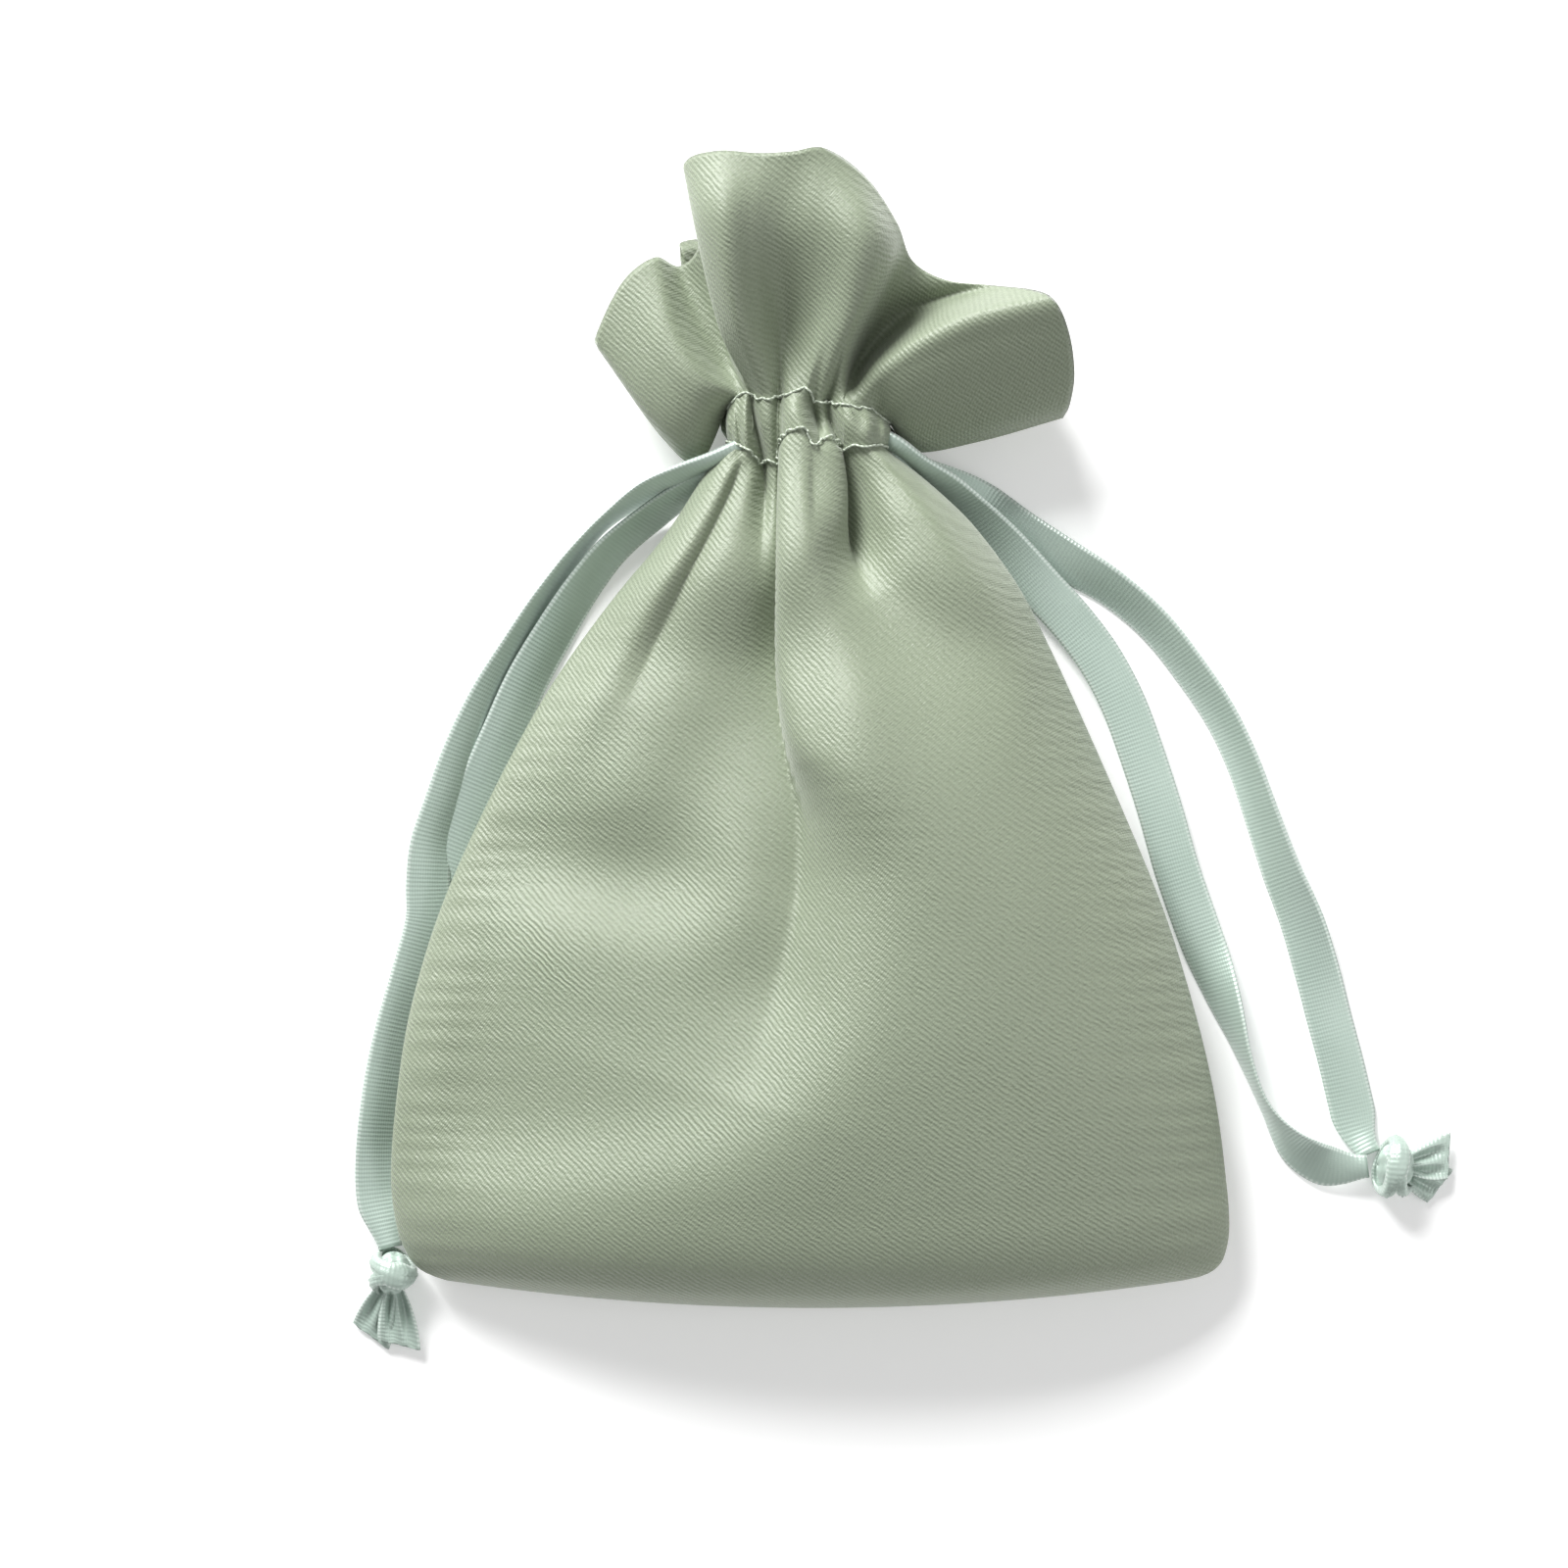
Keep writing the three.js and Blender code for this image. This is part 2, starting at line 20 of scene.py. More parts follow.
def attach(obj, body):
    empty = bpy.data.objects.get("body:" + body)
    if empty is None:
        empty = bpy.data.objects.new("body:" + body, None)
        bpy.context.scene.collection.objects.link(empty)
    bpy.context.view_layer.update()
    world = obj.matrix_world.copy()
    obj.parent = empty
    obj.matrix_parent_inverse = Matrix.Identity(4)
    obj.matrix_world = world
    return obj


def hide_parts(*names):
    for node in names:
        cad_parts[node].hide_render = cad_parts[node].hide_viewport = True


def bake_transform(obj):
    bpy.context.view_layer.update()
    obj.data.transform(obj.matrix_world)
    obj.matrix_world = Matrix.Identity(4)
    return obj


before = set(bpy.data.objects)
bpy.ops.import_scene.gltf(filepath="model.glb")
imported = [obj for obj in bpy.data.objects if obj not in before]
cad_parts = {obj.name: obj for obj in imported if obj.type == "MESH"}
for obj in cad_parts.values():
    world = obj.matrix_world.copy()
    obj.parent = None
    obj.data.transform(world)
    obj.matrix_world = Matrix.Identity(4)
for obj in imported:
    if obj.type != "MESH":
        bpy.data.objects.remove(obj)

Array = NDArray[np.float64]
Faces = NDArray[np.int64]
MeshPart = tuple[Array, Faces, Array]
Place = tuple[float, float, float]
Colour = tuple[float, float, float]
LOG = logging.getLogger("gift_sack")
MM = 0.001
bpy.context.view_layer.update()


class Slot(Enum):
    """Material slots of the record that pieces take their finish from."""

    SATIN = "satin"
    SATIN_INSIDE = "satin_inside"
    THREAD = "thread"
    RIBBON = "ribbon"


class Half(Enum):
    """The two cloths of the sack: the front one is uppermost, the back one lies on the table."""

    FRONT = 1
    BACK = -1


# ---------- Curves and meshes ----------


def smooth_step(low: float, high: float, x: Array) -> Array:
    """Cubic ramp from 0 at low to 1 at high.

    Args:
        low: Where the ramp starts.
        high: Where it ends.
        x: Places to read it at.

    Returns:
        The ramp's values.
    """
    t = np.clip((x - low) / (high - low), 0.0, 1.0)
    return t * t * (3.0 - 2.0 * t)


def hermite(x: Array, knots: Array, values: Array) -> Array:
    """Smooth curve through values at knots: cubics whose slopes are those between each knot's neighbours.

    Args:
        x: Places to read the curve at, of any shape.
        knots: Rising places of the values.
        values: One value, or one row of values, for each knot.

    Returns:
        The curve at x, with the values' row length added as a last axis.
    """
    rows = values.reshape(len(knots), -1)
    slope = np.empty_like(rows)
    slope[1:-1] = (rows[2:] - rows[:-2]) / (knots[2:] - knots[:-2])[:, None]
    slope[0] = (rows[1] - rows[0]) / (knots[1] - knots[0])
    slope[-1] = (rows[-1] - rows[-2]) / (knots[-1] - knots[-2])
    i = np.clip(np.searchsorted(knots, x, side="right") - 1, 0, len(knots) - 2)
    span = (knots[i + 1] - knots[i])[..., None]
    t = np.clip((x - knots[i])[..., None] / span, 0.0, 1.0)
    a, b = rows[i], rows[i + 1]
    sa, sb = slope[i] * span, slope[i + 1] * span
    made = (2 * t**3 - 3 * t**2 + 1) * a + (t**3 - 2 * t**2 + t) * sa
    made = made + (3 * t**2 - 2 * t**3) * b + (t**3 - t**2) * sb
    return made.reshape(np.shape(x) + values.shape[1:])


def resample(points: Sequence[Sequence[float]], count: int) -> Array:
    """Smooth curve through points, read at equal steps of its length.

    Args:
        points: Places that the curve passes through.
        count: How many places to return.

    Returns:
        Places along the curve, count by 3 (or by 2).
    """
    given = np.asarray(points, float)
    knots = run_lengths(given)
    fine = hermite(np.linspace(0.0, knots[-1], 12 * len(given)), knots, given)
    run = run_lengths(fine)
    even = np.linspace(0.0, run[-1], count)
    return np.stack([np.interp(even, run, fine[:, k]) for k in range(given.shape[1])], axis=1)


def evened(heights: Array, passes: int) -> Array:
    """Heights on a grid, each pass a 1-2-1 mean along both of its directions."""
    for _ in range(passes):
        for axis in (0, 1):
            edge = np.pad(heights, [(1, 1) if axis == k else (0, 0) for k in (0, 1)], "edge")
            low = np.take(edge, range(heights.shape[axis]), axis)
            high = np.take(edge, range(2, edge.shape[axis]), axis)
            heights = (low + 2 * heights + high) / 4
    return heights


def unit(v: Array) -> Array:
    """Vectors along the last axis at length 1."""
    return v / np.maximum(np.linalg.norm(v, axis=-1, keepdims=True), 1e-12)


def grid_normals(xyz: Array) -> Array:
    """Unit normals of a grid: the cross product of its steps along columns and along rows."""
    return unit(np.cross(np.gradient(xyz, axis=1), np.gradient(xyz, axis=0)))


def run_lengths(xyz: Array, axis: int = 0) -> Array:
    """Length travelled along a line, or along one axis of a grid, from 0 at its start."""
    steps = np.linalg.norm(np.diff(xyz, axis=axis), axis=-1)
    zero = np.zeros_like(np.take(steps, [0], axis=axis))
    return np.concatenate([zero, np.cumsum(steps, axis=axis)], axis=axis)


def grid_area(xyz: Array) -> float:
    """Area of a grid of points: each cell's diagonals give twice its area as their cross product."""
    one, two = xyz[1:, 1:] - xyz[:-1, :-1], xyz[1:, :-1] - xyz[:-1, 1:]
    return float(np.linalg.norm(np.cross(one, two), axis=-1).sum() / 2)


def cloth_uv(xyz: Array) -> Array:
    """Weave coordinates of a grid: lengths along each row from its middle, and along each column.

    Args:
        xyz: The grid, rows by columns by 3.

    Returns:
        Rows by columns by 2.
    """
    across = run_lengths(xyz, 1)
    across = across - across[:, across.shape[1] // 2][:, None]
    return np.stack([across, run_lengths(xyz, 0)], axis=-1)


def grid_faces(rows: int, columns: int, around: bool = True, closed: bool = False) -> Faces:
    """Quads of a grid of points, wound so that columns to the right and rows upwards face the viewer.

    Args:
        rows: Rows of points.
        columns: Points in a row.
        around: Whether the last column joins the first.
        closed: Whether the last row joins the first.

    Returns:
        Indices, faces by 4.
    """
    wide = columns if around else columns - 1
    tall = rows if closed else rows - 1
    i, j = np.meshgrid(np.arange(tall), np.arange(wide), indexing="ij")
    above, beside = (i + 1) % rows * columns, (j + 1) % columns
    quads = np.stack([i * columns + j, i * columns + beside, above + beside, above + j], axis=-1)
    return quads.reshape(-1, 4)


def spread_uv(across: Array, along: Array) -> Array:
    """Weave coordinates of a grid from one value for each column and one for each row."""
    return np.stack(np.broadcast_arrays(across[None, :], along[:, None]), axis=-1).reshape(-1, 2)


def make_mesh(name: str, parts: Sequence[MeshPart]) -> bpy.types.Object:
    """Puts points and quads into one smooth mesh object at the origin.

    Args:
        name: The piece's name.
        parts: For each part, its points in millimetres, its quads, and the weave coordinates of its points.

    Returns:
        The new object.
    """
    offsets = np.cumsum([0] + [len(points) for points, _, _ in parts])
    points = np.concatenate([p for p, _, _ in parts]) * MM
    quads = np.concatenate([q + start for (_, q, _), start in zip(parts, offsets)])
    weave = np.concatenate([w for _, _, w in parts]) * MM
    mesh = bpy.data.meshes.new(name)
    mesh.vertices.add(len(points))
    mesh.vertices.foreach_set("co", points.astype(np.float32).ravel())
    mesh.loops.add(quads.size)
    mesh.loops.foreach_set("vertex_index", quads.astype(np.int32).ravel())
    mesh.polygons.add(len(quads))
    mesh.polygons.foreach_set("loop_start", np.arange(0, quads.size, 4, dtype=np.int32))
    mesh.update(calc_edges=True)
    layer = mesh.uv_layers.new(name="weave")
    layer.data.foreach_set("uv", weave[quads.ravel()].astype(np.float32).ravel())
    mesh.polygons.foreach_set("use_smooth", np.ones(len(quads), bool))
    made = bpy.data.objects.new(name, mesh)
    bpy.context.scene.collection.objects.link(made)
    LOG.info("%s: %d points, %d quads", name, len(points), len(quads))
    return made


def tube_part(rings: Array, along: Array, across: Array | None = None) -> MeshPart:
    """Closed tube through rings of points, its two ends drawn together to a point each.

    Args:
        rings: Rings by points by 3, each ring anticlockwise as seen from the tube's far end.
        along: Weave coordinate of each ring.
        across: Weave coordinate of each point of a ring. Left out, it runs from 0 to 1.

    Returns:
        The mesh part.
    """
    start, end = (ring.mean(axis=0) + 0 * ring for ring in (rings[0], rings[-1]))
    full = np.concatenate([start[None], rings, end[None]])
    length = np.concatenate([along[:1], along, along[-1:]])
    if across is None:
        across = np.linspace(0.0, 1.0, rings.shape[1])
    return full.reshape(-1, 3), grid_faces(*full.shape[:2]), spread_uv(across, length)


def make_welded(name: str, parts: Sequence[MeshPart]) -> bpy.types.Object:
    """Makes a mesh and merges its points that lie on each other, which closes the ends of tubes."""
    piece = make_mesh(name, parts)
    work = bmesh.new()
    work.from_mesh(piece.data)
    bmesh.ops.remove_doubles(work, verts=work.verts, dist=1e-7)
    work.to_mesh(piece.data)
    work.free()
    return piece


def heading_axes(degrees: float) -> tuple[Array, Array, Array]:
    """Directions ahead, to the left and up for a heading on the table."""
    a = math.radians(degrees)
    ahead = np.array([math.cos(a), math.sin(a), 0.0])
    left = np.array([-math.sin(a), math.cos(a), 0.0])
    return ahead, left, np.array([0.0, 0.0, 1.0])


# ---------- Finishes ----------


class Nodes:
    """Builds one material's node tree."""

    def __init__(self, name: str) -> None:
        """Starts a material with one shader and its output."""
        self.material = bpy.data.materials.new(name)
        self.material.use_nodes = True
        self.tree = self.material.node_tree
        self.tree.nodes.clear()
        self.shader = self.add("ShaderNodeBsdfPrincipled")
        self.link(self.shader.outputs[0], self.add("ShaderNodeOutputMaterial").inputs[0])

    def add(self, kind: str, **settings: object) -> bpy.types.Node:
        """Adds a node and sets its properties."""
        node = self.tree.nodes.new(kind)
        for key, value in settings.items():
            setattr(node, key, value)
        return node

    def link(self, out: bpy.types.NodeSocket, into: bpy.types.NodeSocket) -> None:
        """Joins two sockets."""
        self.tree.links.new(out, into)

    def math(self, operation: str, a: object, b: object = 0.0) -> bpy.types.NodeSocket:
        """Adds a maths node on two sockets or numbers and returns its output."""
        node = self.add("ShaderNodeMath", operation=operation)
        for socket, value in zip(node.inputs, (a, b)):
            if isinstance(value, bpy.types.NodeSocket):
                self.link(value, socket)
            else:
                socket.default_value = value
        return node.outputs[0]

    def times(self, a: object, b: object) -> bpy.types.NodeSocket:
        """Adds a product."""
        return self.math("MULTIPLY", a, b)

    def plus(self, a: object, b: object) -> bpy.types.NodeSocket:
        """Adds a sum."""
        return self.math("ADD", a, b)

    def place(self) -> bpy.types.NodeSocket:
        """Places on the piece, in metres."""
        return self.add("ShaderNodeTexCoord").outputs["Object"]

    def weave(self) -> tuple[bpy.types.NodeSocket, bpy.types.NodeSocket]:
        """The weave's coordinates across and along the piece."""
        split = self.add("ShaderNodeSeparateXYZ")
        self.link(self.add("ShaderNodeUVMap", uv_map="weave").outputs[0], split.inputs[0])
        return split.outputs[0], split.outputs[1]

    def noise(self, vector: bpy.types.NodeSocket, scale: float, detail: float) -> bpy.types.NodeSocket:
        """Adds a noise texture and returns its 0 to 1 output."""
        node = self.add("ShaderNodeTexNoise")
        self.link(vector, node.inputs["Vector"])
        node.inputs["Scale"].default_value = scale
        node.inputs["Detail"].default_value = detail
        return node.outputs["Fac"]

    def mix(self, share: object, a: object, b: object) -> bpy.types.NodeSocket:
        """Adds a colour mix from a to b by share and returns its output."""
        node = self.add("ShaderNodeMix", data_type="RGBA")
        for socket, value in ((node.inputs[0], share), (node.inputs[6], a), (node.inputs[7], b)):
            if isinstance(value, bpy.types.NodeSocket):
                self.link(value, socket)
            elif isinstance(value, tuple):
                socket.default_value = (*value, 1.0)
            else:
                socket.default_value = value
        return node.outputs[2]

    def lines(self, place: bpy.types.NodeSocket, pitch: float, across: Place,
              wander: object) -> bpy.types.NodeSocket:
        """Straight ribs of a weave.

        Args:
            place: Coordinates in metres.
            pitch: Distance from rib to rib in metres.
            across: Direction across the ribs.
            wander: Socket or number added to the phase, in radians.

        Returns:
            A wave from -1 to 1.
        """
        dot = self.add("ShaderNodeVectorMath", operation="DOT_PRODUCT")
        self.link(place, dot.inputs[0])
        dot.inputs[1].default_value = tuple(2 * math.pi / pitch * c for c in across)
        return self.math("SINE", self.plus(dot.outputs["Value"], wander))

    def bump(self, height: bpy.types.NodeSocket, strength: float, distance: float) -> None:
        """Sends a height into the shader's normal."""
        node = self.add("ShaderNodeBump")
        node.inputs["Strength"].default_value = strength
        node.inputs["Distance"].default_value = distance
        self.link(height, node.inputs["Height"])
        self.link(node.outputs[0], self.shader.inputs["Normal"])

    def set(self, **values: object) -> None:
        """Sets sockets of the shader by name, with underscores for spaces."""
        for key, value in values.items():
            self.shader.inputs[key.replace("_", " ")].default_value = value


@dataclass(frozen=True)
class SatinFinish:
    """Sage satin: a fine diagonal twill with a soft, broad sheen."""

    name: str
    deep: Colour
    light: Colour
    roughness: float = 0.52
    metal: float = 0.0
    gloss: float = 0.85
    rib_pitch: float = 0.00072
    fine_pitch: float = 0.0003312
    rib_across: Place = (0.6, 0.74, 0.32)
    fine_across: Place = (0.72, -0.6, 0.35)
    wander_scale: float = 380.0
    wander_angle: float = 6.0
    slub_scale: float = 2500.0
    patch_scale: float = 30.0
    fade_scale: float = 700.0
    rib_tone: float = 0.3
    patch_tone: float = 0.4
    slub_tone: float = 0.62
    rib_relief: float = 0.8
    fine_relief: float = 0.14
    slub_relief: float = 1.5
    relief: float = 0.00009

    def material(self) -> bpy.types.Material:
        """Makes the material."""
        nodes = Nodes(self.name)
        place = nodes.place()
        wander = nodes.times(nodes.noise(place, self.wander_scale, 2.0), self.wander_angle)
        rib = nodes.lines(place, self.rib_pitch, self.rib_across, wander)
        fine = nodes.lines(place, self.fine_pitch, self.fine_across, wander)
        slub = nodes.noise(place, self.slub_scale, 2.0)
        patch = nodes.noise(place, self.patch_scale, 3.0)
        ribs = nodes.times(rib, nodes.noise(place, self.fade_scale, 1.0))
        tone = nodes.plus(nodes.times(ribs, self.rib_tone), nodes.times(patch, self.patch_tone))
        tone = nodes.plus(tone, nodes.times(slub, self.slub_tone))
        nodes.link(nodes.mix(tone, self.deep, self.light), nodes.shader.inputs["Base Color"])
        height = nodes.plus(nodes.times(ribs, self.rib_relief), nodes.times(fine, self.fine_relief))
        height = nodes.plus(height, nodes.times(slub, self.slub_relief))
        nodes.bump(height, 0.8, self.relief)
        nodes.set(Roughness=self.roughness, Metallic=self.metal, Specular_IOR_Level=self.gloss)
        nodes.set(Sheen_Weight=0.35, Sheen_Roughness=0.45, Sheen_Tint=(0.95, 0.98, 0.93, 1.0))
        return nodes.material


@dataclass(frozen=True)
class RibbonFinish:
    """Pale mint satin ribbon: ribs across it and a pale woven edge on both sides."""

    name: str
    deep: Colour
    light: Colour
    edge: Colour
    rib_pitch: float = 0.00062
    threads: float = 9.0
    edge_start: float = 0.8
    edge_full: float = 0.92
    patch_scale: float = 60.0
    rib_tone: float = 0.08
    edge_tone: float = 0.55
    picot_tone: float = 0.45
    rib_relief: float = 0.6
    thread_relief: float = 0.25
    relief: float = 0.00005

    def material(self) -> bpy.types.Material:
        """Makes the material. The weave's first coordinate is the share of the way across, times MM."""
        nodes = Nodes(self.name)
        across, along = nodes.weave()
        side = nodes.math("ABSOLUTE", nodes.times(across, 1 / MM))
        rib = nodes.math("SINE", nodes.times(along, 2 * math.pi / self.rib_pitch))
        thread = nodes.math("SINE", nodes.times(across, 2 * math.pi * self.threads / MM))
        ramp = nodes.add("ShaderNodeMapRange", interpolation_type="SMOOTHSTEP")
        nodes.link(side, ramp.inputs["Value"])
        ramp.inputs["From Min"].default_value = self.edge_start
        ramp.inputs["From Max"].default_value = self.edge_full
        patch = nodes.noise(nodes.place(), self.patch_scale, 2.0)
        body = nodes.mix(nodes.plus(patch, nodes.times(rib, self.rib_tone)), self.deep, self.light)
        picot = nodes.plus(self.edge_tone, nodes.times(rib, self.picot_tone))
        edge = nodes.mix(nodes.times(ramp.outputs[0], picot), body, self.edge)
        nodes.link(edge, nodes.shader.inputs["Base Color"])
        height = nodes.plus(nodes.times(rib, self.rib_relief), nodes.times(thread, self.thread_relief))
        nodes.bump(height, 0.5, self.relief)
        nodes.set(Roughness=0.38, Metallic=0.3, Specular_IOR_Level=0.5, Sheen_Weight=0.2, Sheen_Roughness=0.4)
        return nodes.material


@dataclass(frozen=True)
class ThreadFinish:
    """Pale sewing thread with the twist of its plies."""

    name: str
    deep: Colour
    light: Colour
    turns: float = 9000.0
    relief: float = 0.00004

    def material(self) -> bpy.types.Material:
        """Makes the material. The weave's first coordinate is the share of the way round, times MM."""
        nodes = Nodes(self.name)
        across, along = nodes.weave()
        around = nodes.times(across, 2 * math.pi / MM)
        twist = nodes.math("SINE", nodes.plus(around, nodes.times(along, self.turns)))
        share = nodes.plus(0.5, nodes.times(twist, 0.5))
        nodes.link(nodes.mix(share, self.deep, self.light), nodes.shader.inputs["Base Color"])
        nodes.bump(twist, 0.5, self.relief)
        nodes.set(Roughness=0.6, Sheen_Weight=0.3)
        return nodes.material


SATIN = SatinFinish("sage_satin", (0.165, 0.2, 0.13), (0.275, 0.322, 0.228))
SATIN_INSIDE = SatinFinish(
    "sage_satin_wrong_side", (0.2, 0.235, 0.155), (0.29, 0.335, 0.235), roughness=0.65, gloss=0.4)
RIBBON = RibbonFinish("mint_ribbon", (0.36, 0.46, 0.4), (0.5, 0.6, 0.54), (0.66, 0.74, 0.69))
THREAD = ThreadFinish("pale_thread", (0.34, 0.4, 0.3), (0.62, 0.68, 0.58))


def dress(piece: bpy.types.Object, material: bpy.types.Material) -> None:
    """Gives a piece its material."""
    piece.data.materials.clear()
    piece.data.materials.append(material)


# ---------- The cloth ----------


def nearest_on(line: Array, x: Array, y: Array) -> tuple[Array, Array, Array]:
    """Nearest place on a line to each point of the plan.

    Args:
        line: Places on the line, count by 2.
        x: Across the sack.
        y: Along it.

    Returns:
        The distance, the side (above 0 on the line's left) and the place, a fractional index into the line.
    """
    shape = np.broadcast_shapes(np.shape(x), np.shape(y))
    px = np.broadcast_to(x, shape).ravel()[:, None]
    py = np.broadcast_to(y, shape).ravel()[:, None]
    start, step = line[:-1], np.diff(line, axis=0)
    along = (px - start[:, 0]) * step[:, 0] + (py - start[:, 1]) * step[:, 1]
    share = np.clip(along / (step**2).sum(axis=1), 0, 1)
    dx = px - start[:, 0] - share * step[:, 0]
    dy = py - start[:, 1] - share * step[:, 1]
    distance = np.hypot(dx, dy)
    near = distance.argmin(axis=1)
    pick = np.arange(len(near))
    side = step[near, 0] * dy[pick, near] - step[near, 1] * dx[pick, near]
    place = near + share[pick, near]
    return distance[pick, near].reshape(shape), side.reshape(shape), place.reshape(shape)


@dataclass
class Fold:
    """A ridge or a crease pressed into a cloth along a line on the plan.

    Each station is a place on the line (x, y), the height there, and how far the fold reaches to the left and
    to the right of the line. The height falls off away from it as a bell, or as a cusp where sharp is set.
    """

    stations: Sequence[tuple[float, float, float, float, float]]
    sharp: bool = False
    steps: int = 48

    def lift(self, x: Array, y: Array) -> Array:
        """Height that the fold adds.

        Args:
            x: Across the sack.
            y: Along it.

        Returns:
            Heights, of x's shape.
        """
        given = np.asarray(self.stations, float)
        knots = run_lengths(given[:, :2])
        line = hermite(np.linspace(0.0, knots[-1], self.steps), knots, given)
        distance, side, place = nearest_on(line[:, :2], x, y)
        height, left, right = (np.interp(place, np.arange(len(line)), line[:, k]) for k in (2, 3, 4))
        reach = distance / np.where(side > 0, left, right)
        fall = np.exp(-reach) if self.sharp else np.exp(-(reach**2))
        return height * fall


@dataclass
class Shelf:
    """A raised area: the cloth climbs by `height` over `width` from the line's right to its left."""

    line: Sequence[tuple[float, float]]
    height: float
    width: float
    steps: int = 60

    def lift(self, x: Array, y: Array) -> Array:
        """Height that the shelf adds at points x, y: a tanh step of the signed distance from the line."""
        distance, side, _ = nearest_on(resample(self.line, self.steps), x, y)
        return 0.5 * self.height * (1.0 + np.tanh(np.sign(side) * distance / self.width))


LEFT_SEAM_RIB = (0.0, -16.8, 41.6, 8.4, -22.5, 45.2, 9.4, -32.2, 58.6, 10.4)
RIGHT_SEAM_RIB = (1.0, 15.4, 43.2, 8.6, 25.8, 44.8, 8.6, 38.0, 48.2, 9.6)


